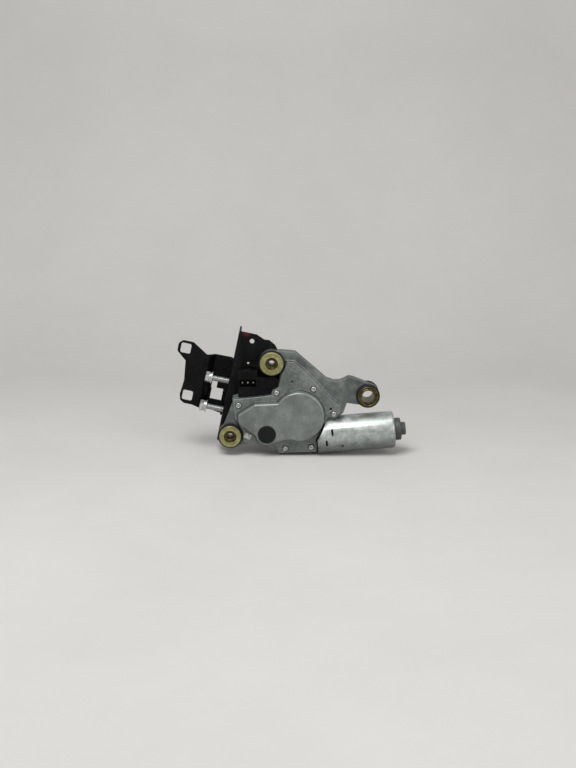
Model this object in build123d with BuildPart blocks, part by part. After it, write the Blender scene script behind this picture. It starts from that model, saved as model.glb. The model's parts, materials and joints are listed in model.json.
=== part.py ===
"""Rear wiper motor with a toothed-sector gearbox, rubber-mounted on a folded bracket.

Millimetres. The origin is where the output shaft leaves its bearing boss. +Y runs out along that
shaft, +X towards the motor can and +Z up. The cover closes the gearbox on the -Y side, so heights
are measured from the end of the boss towards the cover: a point at height h lies at Y = -h.
Profiles parallel to the cover are drawn in (X, Z).
"""

import os
from math import acos, atan2, cos, degrees, hypot, pi, radians, sin, tan

from build123d import *

os.makedirs("parts", exist_ok=True)

# ---------------------------------------------------------------- driving dimensions

# Gearbox rim above the end of the output boss, and what is stacked under and over it
rim_height = 45.0
motor_depth = 9.0
rod_depth = 3.0
inner_boss_depth = 4.4
floor_gap = 3.0
floor_thickness = 3.0
gasket_thickness = 0.5
cover_sheet = 1.5
dome_rise = 7.0

# Fits and gaps
running_gap = 0.03
thread_gap = 0.05
air_gap = 0.7
seat_gap = 0.3

# Worm and wheel
wheel_x = 32.4
wheel_z = 18.0
worm_module = 0.8
wheel_teeth = 50
worm_pitch_radius = 4.95
wheel_width = 8.0
worm_backlash = 0.12
motor_tilt = 4.7
worm_turns = 7

# Toothed sector, pinion and rocker link
gear_module = 1.0
pinion_teeth = 15
sector_full_teeth = 30
sector_kept_teeth = 6
gear_backlash = 0.10
pressure_angle = 20.0
output_sweep = 110.0
link_share = 1 / 3
link_middle_angle = 100.0
rod_thickness = 4.0
link_thickness = 2.0
rod_half_width = 3.2
eye_radius = 5.6
crank_pin_radius = 2.8

# Output shaft
shaft_radius = 5.0
pinion_seat_radius = 4.2
link_journal_radius = 3.5
boss_radius = 9.5
boss_root_radius = 11.5
bush_wall = 2.0
bush_length = 10.0
taper_start = 7.0
taper_end = 14.0
stud_radius = 4.0
stud_end = 25.0

# Cover outline and its raised part
dome_radius = 26.2
plug_boss_radius = 12.5
plug_radius = 9.0
plug_hole_radius = 7.4
wall = 2.0
rim_margin = 1.0

# Motor can
can_radius = 18.75
can_sheet = 1.2
can_start = 26.5
can_end = 95.2
cap_radius = 11.4
cap_flange = 6.8
cap_boss_radius = 6.6
cap_end = 106.8
neck_radius = 7.6
neck_length = 4.6
armature_shaft_radius = 3.0
core_radius = 14.0

# Rubber mounts
upper_x = 4.9
upper_z = 71.5
lower_x = -37.3
lower_z = -3.6
arm_x = 101.5
arm_z = 38.0
ear_depth = 2.0
ear_thickness = 6.0
ear_hole_radius = 9.5
ear_wall = 3.0
sleeve_radius = 6.6
sleeve_recess_radius = 5.6
sleeve_recess = 5.0
sleeve_bore_radius = 3.0
disc_rise = 5.0
disc_thickness = 2.0
upper_disc_radius = 11.7
lower_disc_radius = 11.0
upper_rubber_radius = 13.0
lower_rubber_radius = 12.5
arm_sleeve_bottom = 25.0
arm_sleeve_radius = 8.7
arm_bore_radius = 6.0
arm_rubber_radius = 11.9
arm_ring_radius = 11.5

# Brackets
bracket_sheet = 2.0
bracket_tilt = 12.2
face_depth = 13.0
bend_offset = -12.6
bend_radius = 2.5
flange_lean = 1.0
flange_back = 3.0
flange_bottom = -11.0
flange_top = 105.0
side_right_height = 5.0
side_left_height = 15.0
side_hole = 10.5
bolt_radius = 3.0
bolt_flats = 10.0
bolt_head = 4.0
bolt_standoff = 20.5
bolt_length = 28.0
bolt_depth = 8.5
washer_radius = 6.0
washer_thickness = 1.6
bolt_places = (50.2, 19.8)

# ---------------------------------------------------------------- derived places

cover_back = rim_height + gasket_thickness
cover_front = cover_back + cover_sheet
dome_front = cover_front + dome_rise
dome_inside = dome_front - cover_sheet

motor_height = rim_height - motor_depth
wheel_pitch_radius = worm_module * wheel_teeth / 2
wheel_bottom = motor_height - wheel_width / 2
wheel_top = motor_height + wheel_width / 2
floor_top = wheel_bottom - floor_gap
floor_back = floor_top - floor_thickness
inner_boss_top = rim_height - inner_boss_depth
centre_distance = wheel_pitch_radius + worm_pitch_radius
tilt_cos = cos(radians(motor_tilt))
tilt_sin = sin(radians(motor_tilt))
mesh_x = wheel_x + centre_distance * tilt_sin
mesh_z = wheel_z - centre_distance * tilt_cos

pinion_pitch_radius = gear_module * pinion_teeth / 2
sector_pitch_radius = gear_module * sector_full_teeth / 2
link_length = pinion_pitch_radius + sector_pitch_radius
link_swing = output_sweep * link_share
link_rest_angle = link_middle_angle + link_swing / 2
crank_radius = link_length * sin(radians(link_swing / 2))
pin_x = link_length * cos(radians(link_rest_angle))
pin_z = link_length * sin(radians(link_rest_angle))
stroke_angle = link_middle_angle - 90
crank_x = wheel_x - crank_radius * cos(radians(stroke_angle))
crank_z = wheel_z - crank_radius * sin(radians(stroke_angle))
rod_length = hypot(crank_x - pin_x, crank_z - pin_z)
rod_angle = degrees(atan2(crank_z - pin_z, crank_x - pin_x))
rod_bottom = rim_height - rod_depth
rod_top = rod_bottom + rod_thickness
link_bottom = rod_top + 1.0
link_top = link_bottom + link_thickness
bush_radius = shaft_radius + bush_wall

ear_top = rim_height - ear_depth
ear_bottom = ear_top - ear_thickness
disc_top = rim_height + disc_rise
face_height = rim_height - face_depth
flange_depth = face_height - flange_back

upper = (upper_x, upper_z)
lower = (lower_x, lower_z)
arm_eye = (arm_x, arm_z)
wheel_centre = (wheel_x, wheel_z)


def level(height):
    """Plane parallel to the cover, facing it, at a height above the end of the boss."""
    return Plane.XZ.offset(height)


def wheel_level(height):
    """Plane parallel to the cover with its origin on the wheel's axle."""
    return Plane(origin=(wheel_x, -height, wheel_z), x_dir=(1, 0, 0), z_dir=(0, -1, 0))


def across_motor(distance):
    """Plane square to the motor axis, at a distance along it from the worm mesh."""
    place = (mesh_x + distance * tilt_cos, -motor_height, mesh_z + distance * tilt_sin)
    return Plane(origin=place, x_dir=(0, 1, 0), z_dir=(tilt_cos, 0, tilt_sin))


def along_motor():
    """Plane through the motor axis: x along the axis from the worm mesh, y square to it, up."""
    return Plane(
        origin=(mesh_x, -motor_height, mesh_z), x_dir=(tilt_cos, 0, tilt_sin), z_dir=(0, -1, 0)
    )


def bracket_level(height):
    """Plane of the bracket's face: origin at the lower mount, y up along the folded edge."""
    lean = radians(bracket_tilt)
    return Plane(
        origin=(lower_x, -height, lower_z), x_dir=(cos(lean), 0, -sin(lean)), z_dir=(0, -1, 0)
    )


def flange_plane(rise):
    """Plane of the flange's outer face: origin on the fold, x back down the flange, z outwards."""
    fold = bracket_level(face_height)
    origin = fold.from_local_coords((bend_offset, rise, 0))
    lean = radians(flange_lean)
    back = fold.x_dir * -sin(lean) + fold.z_dir * -cos(lean)
    out = fold.x_dir * -cos(lean) + fold.z_dir * sin(lean)
    return Plane(origin=origin, x_dir=back, z_dir=out)


def finish_node(part, name):
    """Label a finished piece and write it as its own STEP file."""
    part.label = name
    export_step(part, f"parts/{name}.step")


# ---------------------------------------------------------------- outlines shared by several pieces

cover_points = [
    (17.8, 66.0),
    (20.2, 73.2),
    (27.2, 72.7),
    (36.2, 65.0),
    (51.2, 49.6),
    (61.2, 38.3),
    (68.2, 31.6),
    (74.2, 28.0),
    (73.6, 19.5),
    (61.5, 17.0),
    (58.2, 8.5),
    (53.8, -0.5),
    (49.6, -8.0),
    (49.2, -20.2),
    (12.2, -21.3),
    (8.2, -15.5),
    (-14.0, -11.0),
    (-24.0, -9.5),
    (-24.0, 1.0),
    (-32.0, 14.0),
    (-34.0, 34.5),
    (-4.0, 37.5),
    (5.0, 39.0),
    (10.0, 42.5),
    (12.2, 49.0),
    (14.6, 60.0),
]

raised_points = [
    (-30.3, 20.2),
    (-12.4, 32.0),
    (16.0, 33.1),
    (32.4, 30.0),
    (51.0, -0.3),
    (43.5, -5.0),
    (16.7, -7.3),
    (6.0, -11.0),
    (-7.5, -10.0),
    (-13.1, -1.8),
    (-29.2, 10.0),
]

arm_points = [
    (6.0, 83.9),
    (28.4, 82.0),
    (48.8, 64.5),
    (59.3, 55.0),
    (67.0, 52.3),
    (73.4, 52.3),
    (78.3, 54.4),
    (82.0, 56.6),
    (87.0, 55.6),
    (102.5, 49.4),
    (97.5, 27.4),
    (90.0, 28.6),
    (80.5, 30.0),
    (76.8, 18.5),
    (66.0, 8.0),
    (30.0, 20.0),
]

torx_places = [
    (9.7, 41.2),
    (46.7, 45.1),
    (67.4, 19.4),
    (44.8, -15.2),
    (18.3, -16.8),
    (-28.6, 28.3),
]
clip_place = (-19.6, -3.2)
vent_place = (25.2, 52.7)
gauge_hole_place = (64.2, 24.6)
gauge_hole_radius = 1.4
screw_radius = 2.0
screw_head_radius = 2.7
screw_head = 2.2
screw_seat_radius = 3.5
screw_seat = 0.8
screw_length = 13.0
screw_lobe_radius = 4.3

# Sides of the raised part lean in by this angle from the cover to its top
dome_draft = 12.0
corner_radius = 2.5

with BuildSketch() as cover_outline:
    with BuildLine():
        Polyline(*cover_points, close=True)
    make_face()
    with Locations((0, 0)):
        Circle(plug_boss_radius + 2.5)
    with Locations(*torx_places):
        Circle(screw_lobe_radius)
    offset(amount=corner_radius)
    offset(amount=-corner_radius)

with BuildSketch() as rim_outline:
    add(cover_outline.sketch)
    offset(amount=rim_margin)

with BuildSketch() as raised_outline:
    with BuildLine():
        Polyline(*raised_points, close=True)
    make_face()
    with Locations(wheel_centre):
        Circle(dome_radius)
    with Locations((0, 0)):
        Circle(plug_boss_radius)
    offset(amount=-corner_radius)
    offset(amount=2 * corner_radius)
    offset(amount=-corner_radius)

with BuildSketch() as chamber_outline:
    add(raised_outline.sketch)
    offset(amount=-wall)

# ---------------------------------------------------------------- gear housing

worm_bore_radius = 7.2
worm_bore_start = -17.0
middle_wall_start = 10.0
motor_face = 15.0
end_bush_radius = 5.2
end_bush_start = -23.5
middle_bush_radius = 6.0
button_end = -26.5
axle_radius = 2.5
wheel_boss_radius = 6.0
wheel_boss_top = wheel_bottom - 1.2
collar_gap = 0.15
collar_wall = 2.6
shelf_gap = 1.0
shelf_top = face_height + shelf_gap
boss_ribs = 8

with BuildPart() as gear_housing:
    # Gear chamber
    with BuildSketch(level(floor_back)):
        add(rim_outline.sketch)
    extrude(amount=rim_height - floor_back)
    # Web and long arm behind the cover's edge, with a bevelled front edge
    with BuildSketch(level(31)):
        with BuildLine():
            Polyline(*arm_points, close=True)
        make_face()
        offset(amount=-corner_radius)
        offset(amount=corner_radius)
    extrude(amount=ear_top - 31)
    # Eye at the end of the arm
    with BuildSketch(level(ear_bottom - 4)):
        with Locations(arm_eye):
            Circle(arm_ring_radius)
    extrude(amount=ear_top - ear_bottom + 4)
    # Ears for the upper and lower rubber mounts
    with BuildSketch(level(ear_bottom)):
        with Locations(upper, lower):
            Circle(ear_hole_radius + ear_wall)
        with BuildLine():
            Polyline((6.0, 83.9), (24.0, 80.0), (24.0, 62.0), (10.0, 60.0), close=True)
        make_face()
        with BuildLine():
            Polyline((-34.0, 33.0), (-44.0, 6.9), (-33.0, -15.2), (-14.0, -11.5), (-14.0, 4.0),
                     close=True)
        make_face()
    extrude(amount=ear_top - ear_bottom)
    # Shelf that carries the connector housing
    with BuildSketch(level(floor_back)):
        with BuildLine():
            Polyline((-26.0, 34.0), (-26.0, 45.0), (8.0, 52.0), (14.0, 52.0), (14.0, 38.0),
                     close=True)
        make_face()
    extrude(amount=shelf_top - floor_back)
    # Round tunnel for the worm, running out to the motor face
    with BuildSketch(across_motor(button_end)):
        Circle(10.0)
    extrude(amount=motor_face - button_end)
    with BuildSketch(across_motor(3.0)):
        Circle(13.0)
    with BuildSketch(across_motor(motor_face)):
        Circle(can_radius)
    loft()
    # Collar that wraps the upper corner of the can
    with BuildSketch(across_motor(motor_face - 3)):
        Circle(can_radius + collar_gap + collar_wall)
    extrude(amount=26.0)
    with BuildSketch(along_motor()):
        with BuildLine():
            Polyline((11.5, -30.0), (50.0, -30.0), (50.0, 26.0), (38.0, 19.0), (18.0, 0.0),
                     (11.5, -7.8), close=True)
        make_face()
    extrude(amount=40, both=True, mode=Mode.SUBTRACT)
    with BuildSketch(level(rim_height - 1)):
        with Locations(wheel_centre):
            Circle(4 * can_radius)
    extrude(amount=20.0, mode=Mode.SUBTRACT)
    # Output boss behind the floor, with eight stiffening ribs
    with BuildSketch(level(0)):
        Circle(boss_radius)
    with BuildSketch(level(floor_back)):
        Circle(boss_root_radius)
    loft()
    for rib in range(boss_ribs):
        turn = radians(10 + rib * 360 / boss_ribs)
        outward = (cos(turn), 0, sin(turn))
        with BuildSketch(Plane(origin=(0, 0, 0), x_dir=outward, z_dir=(-sin(turn), 0, cos(turn)))):
            with BuildLine():
                Polyline((boss_radius - 1, -floor_back), (boss_radius + 7.5, -floor_back),
                         (boss_radius, -10.0), (boss_radius - 1, -10.0), close=True)
            make_face()
        extrude(amount=1.2, both=True)
    # Ribs on the back of the long arm
    with BuildSketch(level(31)):
        with BuildLine():
            Polyline((52.0, 36.0), (92.0, 42.0), (92.0, 39.6), (52.0, 33.0), close=True)
        make_face()
        with BuildLine():
            Polyline((24.0, 66.0), (60.0, 30.0), (57.0, 28.0), (22.0, 63.0), close=True)
        make_face()
    extrude(amount=-3.0)
    # Hollow of the chamber
    with BuildSketch(level(floor_top)):
        add(chamber_outline.sketch)
    extrude(amount=rim_height - floor_top, mode=Mode.SUBTRACT)
    # Bosses that stand on the chamber floor
    with BuildSketch(level(floor_back)):
        Circle(bush_radius + 2.0)
    extrude(amount=inner_boss_top - floor_back)
    with BuildSketch(level(floor_back)):
        with Locations(wheel_centre):
            Circle(wheel_boss_radius)
    extrude(amount=wheel_boss_top - floor_back)
    # Worm tunnel, its two bearing seats and the thread of the thrust button
    with BuildSketch(across_motor(worm_bore_start)):
        Circle(worm_bore_radius)
    extrude(amount=middle_wall_start - worm_bore_start, mode=Mode.SUBTRACT)
    with BuildSketch(across_motor(button_end)):
        Circle(end_bush_radius)
    extrude(amount=worm_bore_start - button_end, mode=Mode.SUBTRACT)
    with BuildSketch(across_motor(middle_wall_start)):
        Circle(middle_bush_radius)
    extrude(amount=motor_face - middle_wall_start, mode=Mode.SUBTRACT)
    # Room for the brush holder and the can inside the collar
    with BuildSketch(across_motor(motor_face)):
        Circle(can_radius + collar_gap)
    extrude(amount=40.0, mode=Mode.SUBTRACT)
    # Chamber wall between the wheel and the motor
    with BuildSketch(level(floor_back)):
        with Locations(wheel_centre):
            Circle(dome_radius)
            Circle(dome_radius - wall, mode=Mode.SUBTRACT)
        with Locations((wheel_x + dome_radius, wheel_z - 8.0)):
            Rectangle(20.0, 18.0, mode=Mode.INTERSECT)
    extrude(amount=rim_height - floor_back)
    # Flat face for the cover, and the recess that leaves its edge free
    with BuildSketch(level(rim_height)):
        add(cover_outline.sketch)
        offset(amount=seat_gap)
    extrude(amount=20.0, mode=Mode.SUBTRACT)
    # Bores: output bushes, wheel axle, rubber mounts and screws
    with BuildSketch(level(0)):
        Circle(bush_radius)
    extrude(amount=inner_boss_top, mode=Mode.SUBTRACT)
    with BuildSketch(level(floor_back)):
        with Locations(wheel_centre):
            Circle(axle_radius)
    extrude(amount=wheel_bottom - floor_back, mode=Mode.SUBTRACT)
    with BuildSketch(level(floor_back - 1)):
        with Locations(upper):
            Circle(upper_rubber_radius + seat_gap)
        with Locations(lower):
            Circle(lower_rubber_radius + seat_gap)
    extrude(amount=ear_bottom - floor_back + 1, mode=Mode.SUBTRACT)
    with BuildSketch(level(floor_back - 1)):
        with Locations(arm_eye):
            Circle(arm_rubber_radius + seat_gap)
    extrude(amount=ear_bottom - 4 - floor_back + 1, mode=Mode.SUBTRACT)
    with BuildSketch(level(floor_top + 3)):
        with BuildLine():
            Polyline((22.5, 66.0), (27.5, 66.5), (43.0, 51.5), (37.0, 49.8), (26.0, 50.5),
                     close=True)
        make_face()
    extrude(amount=rim_height - floor_top, mode=Mode.SUBTRACT)
    with BuildSketch(level(ear_top)):
        with Locations(upper):
            Circle(upper_rubber_radius + seat_gap)
        with Locations(lower):
            Circle(lower_rubber_radius + seat_gap)
    extrude(amount=rim_height - ear_top, mode=Mode.SUBTRACT)
    with BuildSketch(level(floor_back)):
        with Locations(upper, lower, arm_eye):
            Circle(ear_hole_radius)
    extrude(amount=rim_height - floor_back, mode=Mode.SUBTRACT)
    with BuildSketch(level(cover_front - screw_length - 1)):
        with Locations(*torx_places, clip_place):
            Circle(screw_radius + thread_gap)
    extrude(amount=screw_length + 1, mode=Mode.SUBTRACT)

finish_node(gear_housing.part, "gear_housing")

# ---------------------------------------------------------------- cover, gasket, plug and screws

with BuildPart() as cover_gasket:
    with BuildSketch(level(rim_height)):
        add(cover_outline.sketch)
        add(chamber_outline.sketch, mode=Mode.SUBTRACT)
        with Locations(*torx_places, clip_place):
            Circle(screw_radius + thread_gap, mode=Mode.SUBTRACT)
    extrude(amount=gasket_thickness)

finish_node(cover_gasket.part, "cover_gasket")

with BuildPart() as gear_cover:
    with BuildSketch(level(cover_back)):
        add(cover_outline.sketch)
    extrude(amount=cover_sheet)
    with BuildSketch(level(cover_front)):
        add(raised_outline.sketch)
    extrude(amount=dome_rise, taper=dome_draft)
    top_edges = gear_cover.edges().group_by(Axis.Y)[0]
    fillet(top_edges, radius=1.8)
    with BuildSketch(level(cover_back)):
        add(chamber_outline.sketch)
    extrude(amount=dome_inside - cover_back, taper=dome_draft, mode=Mode.SUBTRACT)
    with BuildSketch(level(cover_back)):
        Circle(plug_hole_radius)
        with Locations(*torx_places, clip_place):
            Circle(screw_radius + thread_gap)
        with Locations(vent_place):
            SlotOverall(3.0, 1.5, rotation=30)
        with Locations(gauge_hole_place):
            Circle(gauge_hole_radius)
    extrude(amount=dome_front - cover_back, mode=Mode.SUBTRACT)
    with BuildSketch(level(cover_front - screw_seat)):
        with Locations(*torx_places):
            Circle(screw_seat_radius)
    extrude(amount=screw_seat, mode=Mode.SUBTRACT)

finish_node(gear_cover.part, "gear_cover")

with BuildPart() as cover_plug:
    with BuildSketch(level(dome_inside - 1.0)):
        Circle(plug_hole_radius - running_gap)
        Circle(plug_hole_radius - 1.6, mode=Mode.SUBTRACT)
    extrude(amount=dome_front - dome_inside + 1.0)
    with BuildSketch(level(dome_front)):
        Circle(plug_radius)
    extrude(amount=1.2)
    fillet(cover_plug.edges().group_by(Axis.Y)[0], radius=0.5)

finish_node(cover_plug.part, "cover_plug")

with BuildPart() as cover_screws:
    with BuildSketch(level(cover_front - screw_length)):
        with Locations(*torx_places):
            Circle(screw_radius)
    extrude(amount=screw_length)
    with BuildSketch(level(cover_front - screw_seat)):
        with Locations(*torx_places):
            Circle(screw_head_radius)
    extrude(amount=screw_head)
    fillet(cover_screws.edges().group_by(Axis.Y)[0], radius=0.7)
    with BuildSketch(level(cover_front - screw_seat + screw_head - 1.3)):
        with Locations(*torx_places):
            RegularPolygon(1.5, 6)
            RegularPolygon(1.5, 6, rotation=30)
    extrude(amount=1.3, mode=Mode.SUBTRACT)

finish_node(cover_screws.part, "cover_screws")

with BuildPart() as cover_clip:
    with BuildSketch(level(cover_front)):
        with Locations(Location(clip_place, -25)):
            RectangleRounded(7.4, 6.0, 1.0)
    extrude(amount=1.0)
    with BuildSketch(level(cover_front - screw_length)):
        with Locations(clip_place):
            Circle(screw_radius)
    extrude(amount=screw_length)
    with BuildSketch(level(cover_front + 1.0)):
        with Locations(clip_place):
            Circle(2.2)
    extrude(amount=1.2)

finish_node(cover_clip.part, "cover_clip")

# ---------------------------------------------------------------- output shaft and its bearings

lower_bush_bottom = 5.0
upper_bush_top = inner_boss_top

with BuildPart() as output_bushes:
    with BuildSketch(level(lower_bush_bottom)):
        Circle(bush_radius)
        Circle(shaft_radius + running_gap, mode=Mode.SUBTRACT)
    extrude(amount=bush_length)
    with BuildSketch(level(upper_bush_top - bush_length)):
        Circle(bush_radius)
        Circle(shaft_radius + running_gap, mode=Mode.SUBTRACT)
    extrude(amount=bush_length)

finish_node(output_bushes.part, "output_bushes")

seal_bottom = 2.6

with BuildPart() as shaft_seal:
    with BuildSketch(level(seal_bottom)):
        Circle(bush_radius)
        Circle(shaft_radius + running_gap, mode=Mode.SUBTRACT)
    extrude(amount=lower_bush_bottom - seal_bottom)

finish_node(shaft_seal.part, "shaft_seal")

circlip_bottom = 0.7
circlip_thickness = 0.9
circlip_groove_radius = shaft_radius - 0.5
pinion_bottom = inner_boss_top + 0.6
pinion_top = rod_top + 0.7
clip_bottom = link_top + 0.2
clip_thickness = 0.7
shaft_top = link_top + 1.4

with BuildPart() as output_shaft:
    with BuildSketch(level(-stud_end)):
        Circle(stud_radius)
    extrude(amount=stud_end - taper_end)
    chamfer(output_shaft.edges().group_by(Axis.Y)[-1], length=0.8)
    with BuildSketch(level(-taper_end)):
        Circle(stud_radius + 0.2)
    with BuildSketch(level(-taper_start)):
        Circle(shaft_radius)
    loft()
    with BuildSketch(level(-taper_start)):
        Circle(shaft_radius)
    extrude(amount=taper_start + pinion_bottom)
    with BuildSketch(level(pinion_bottom)):
        Circle(pinion_seat_radius)
    extrude(amount=link_bottom - pinion_bottom)
    with BuildSketch(level(link_bottom)):
        Circle(link_journal_radius)
    extrude(amount=shaft_top - link_bottom)
    with BuildSketch(level(circlip_bottom)):
        Circle(shaft_radius + 1)
        Circle(circlip_groove_radius, mode=Mode.SUBTRACT)
    extrude(amount=circlip_thickness, mode=Mode.SUBTRACT)
    with BuildSketch(level(clip_bottom)):
        Circle(link_journal_radius + 1)
        Circle(link_journal_radius - 0.5, mode=Mode.SUBTRACT)
    extrude(amount=clip_thickness, mode=Mode.SUBTRACT)

finish_node(output_shaft.part, "output_shaft")


def involute_tooth(teeth, root_radius, tip_radius, thinning):
    """Corners of one gear tooth about the local x axis, from its root up to its tip."""
    pitch = gear_module * teeth / 2
    base = pitch * cos(radians(pressure_angle))
    half = pi / (2 * teeth) - thinning / pitch
    involute_at_pitch = tan(radians(pressure_angle)) - radians(pressure_angle)
    start = max(base, root_radius)
    flank = []
    steps = 4
    for step in range(steps + 1):
        radius = start + (tip_radius - start) * step / steps
        roll = acos(min(1.0, base / radius))
        angle = half + involute_at_pitch - (tan(roll) - roll)
        flank.append((radius, angle))
    foot = (root_radius - 0.2, flank[0][1] + 0.02)
    side = [foot] + flank
    upper_side = [(r * cos(a), r * sin(a)) for r, a in side]
    lower_side = [(r * cos(a), -r * sin(a)) for r, a in reversed(side)]
    return upper_side + lower_side


addendum = 0.9
dedendum = 1.25
pinion_root = pinion_pitch_radius - dedendum
pinion_tip = pinion_pitch_radius + addendum
sector_root = sector_pitch_radius - dedendum
sector_tip = sector_pitch_radius + addendum
pinion_pitch_angle = 360 / pinion_teeth
sector_pitch_angle = 360 / sector_full_teeth

with BuildSketch() as pinion_tooth:
    with BuildLine():
        Polyline(*involute_tooth(pinion_teeth, pinion_root, pinion_tip, gear_backlash), close=True)
    make_face()

with BuildPart() as output_pinion:
    with BuildSketch(level(pinion_bottom)):
        Circle(pinion_root)
        with PolarLocations(0, pinion_teeth, start_angle=link_rest_angle + pinion_pitch_angle / 2):
            add(pinion_tooth.sketch)
        Circle(pinion_seat_radius, mode=Mode.SUBTRACT)
    extrude(amount=pinion_top - pinion_bottom)

finish_node(output_pinion.part, "output_pinion")

with BuildPart() as thrust_washer:
    with BuildSketch(level(inner_boss_top)):
        Circle(bush_radius + 0.6)
        Circle(shaft_radius + running_gap, mode=Mode.SUBTRACT)
    extrude(amount=pinion_bottom - inner_boss_top)

finish_node(thrust_washer.part, "thrust_washer")

with BuildPart() as shaft_circlip:
    with BuildSketch(level(circlip_bottom)):
        Circle(bush_radius - 0.4)
        Circle(circlip_groove_radius, mode=Mode.SUBTRACT)
        with Locations((0, bush_radius - 1)):
            Rectangle(3.0, 4.0, mode=Mode.SUBTRACT)
    extrude(amount=circlip_thickness)

finish_node(shaft_circlip.part, "shaft_circlip")

with BuildPart() as link_clip:
    with BuildSketch(level(clip_bottom)):
        Circle(link_journal_radius + 1.8)
        Circle(link_journal_radius - 0.5, mode=Mode.SUBTRACT)
        with Locations((0, -link_journal_radius - 0.8)):
            Rectangle(2.6, 4.0, mode=Mode.SUBTRACT)
    extrude(amount=clip_thickness)

finish_node(link_clip.part, "link_clip")

# ------------------------------------------------------------ rocker link, its pin and the sector rod

pin_radius = 3.0
link_hub_radius = 6.6
link_end_radius = 5.5
link_half_width = 4.5
pin_head_radius = 5.0
pin_head = 1.0
rod_hub_radius = 7.0
pin_place = (pin_x, pin_z)
crank_place = (crank_x, crank_z)

with BuildPart() as rocker_link:
    with BuildSketch(level(link_bottom)):
        Circle(link_hub_radius)
        with Locations(pin_place):
            Circle(link_end_radius)
        with Locations(Location((pin_x / 2, pin_z / 2), link_rest_angle)):
            Rectangle(link_length, 2 * link_half_width)
        Circle(link_journal_radius + running_gap, mode=Mode.SUBTRACT)
        with Locations(pin_place):
            Circle(pin_radius, mode=Mode.SUBTRACT)
    extrude(amount=link_thickness)

finish_node(rocker_link.part, "rocker_link")

with BuildPart() as sector_pin:
    with BuildSketch(level(rod_bottom - 0.2 - pin_head)):
        with Locations(pin_place):
            Circle(pin_head_radius)
    extrude(amount=pin_head)
    with BuildSketch(level(rod_bottom - 0.2)):
        with Locations(pin_place):
            Circle(pin_radius)
    extrude(amount=link_top - rod_bottom + 0.2)
    with BuildSketch(level(link_top)):
        with Locations(pin_place):
            Circle(pin_radius + 1.2)
    extrude(amount=pin_head)
    fillet(sector_pin.edges().group_by(Axis.Y)[0], radius=0.6)

finish_node(sector_pin.part, "sector_pin")

with BuildSketch() as sector_tooth:
    with BuildLine():
        Polyline(*involute_tooth(sector_full_teeth, sector_root, sector_tip, gear_backlash),
                 close=True)
    make_face()

# Directions from the sector's own pin: the first tooth lies next to the rod, the last below
first_tooth = link_rest_angle - 180 + sector_pitch_angle
last_tooth = first_tooth - (sector_kept_teeth - 1) * sector_pitch_angle
blank_from = first_tooth + sector_pitch_angle / 2
blank_to = last_tooth - sector_pitch_angle / 2
blank_middle = (blank_from + blank_to) / 2
blank_reach = 2 * sector_root


def around_pin(radius, angle):
    """Point at a radius and an angle about the sector's pin, for outlines drawn from that pin."""
    return (radius * cos(radians(angle)), radius * sin(radians(angle)))


with BuildSketch() as sector_blank:
    Circle(sector_root)
    with BuildLine():
        Polyline((0, 0), around_pin(blank_reach, blank_from), around_pin(blank_reach, blank_middle),
                 around_pin(blank_reach, blank_to), close=True)
    make_face(mode=Mode.INTERSECT)

with BuildPart() as sector_rod:
    with BuildSketch(level(rod_bottom)):
        with Locations(pin_place):
            add(sector_blank.sketch)
            Circle(rod_hub_radius)
            with PolarLocations(0, sector_kept_teeth, start_angle=last_tooth,
                                angular_range=first_tooth - last_tooth, endpoint=True):
                add(sector_tooth.sketch)
        with Locations(Location(((pin_x + crank_x) / 2, (pin_z + crank_z) / 2), rod_angle)):
            Rectangle(rod_length, 2 * rod_half_width)
        with Locations(crank_place):
            Circle(eye_radius)
        with Locations(pin_place):
            Circle(pin_radius + running_gap, mode=Mode.SUBTRACT)
        with Locations(crank_place):
            Circle(crank_pin_radius + running_gap, mode=Mode.SUBTRACT)
    extrude(amount=rod_thickness)

finish_node(sector_rod.part, "sector_rod")

# ---------------------------------------------------------------- worm wheel

wheel_bore_gap = running_gap
park_disc_thickness = 0.8
park_disc_radius = 15.0
clip_recess_radius = 4.2
clip_recess = 1.6
axle_top = wheel_top - 0.2
worm_lead_angle = degrees(atan2(worm_module * pi, 2 * pi * worm_pitch_radius))
wheel_twist = degrees(wheel_width * tan(radians(worm_lead_angle)) / wheel_pitch_radius)
wheel_tip = wheel_pitch_radius + 0.8 * worm_module
wheel_root = wheel_pitch_radius - 1.15 * worm_module
tooth_slope = tan(radians(pressure_angle))
tooth_half = worm_module * pi / 4 - worm_backlash


def wheel_profile(turn):
    """Outline of the worm wheel about its own centre, turned by an angle in degrees."""
    points = []
    for tooth in range(wheel_teeth):
        middle = radians(tooth * 360 / wheel_teeth + turn)
        for radius, side in ((wheel_root, -1), (wheel_tip, -1), (wheel_tip, 1), (wheel_root, 1)):
            half = tooth_half - (radius - wheel_pitch_radius) * tooth_slope
            angle = middle + side * half / radius
            points.append((radius * cos(angle), radius * sin(angle)))
    return points


rest_phase = degrees(atan2(mesh_z - wheel_z, mesh_x - wheel_x))
sections = []
for share in (0, 1):
    with BuildSketch(level(wheel_bottom + share * wheel_width)) as section:
        with Locations(wheel_centre):
            with BuildSketch(mode=Mode.PRIVATE) as gear:
                with BuildLine():
                    Polyline(*wheel_profile(rest_phase + (share - 0.5) * wheel_twist), close=True)
                make_face()
            add(gear.sketch)
    sections.append(section.sketch)

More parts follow.
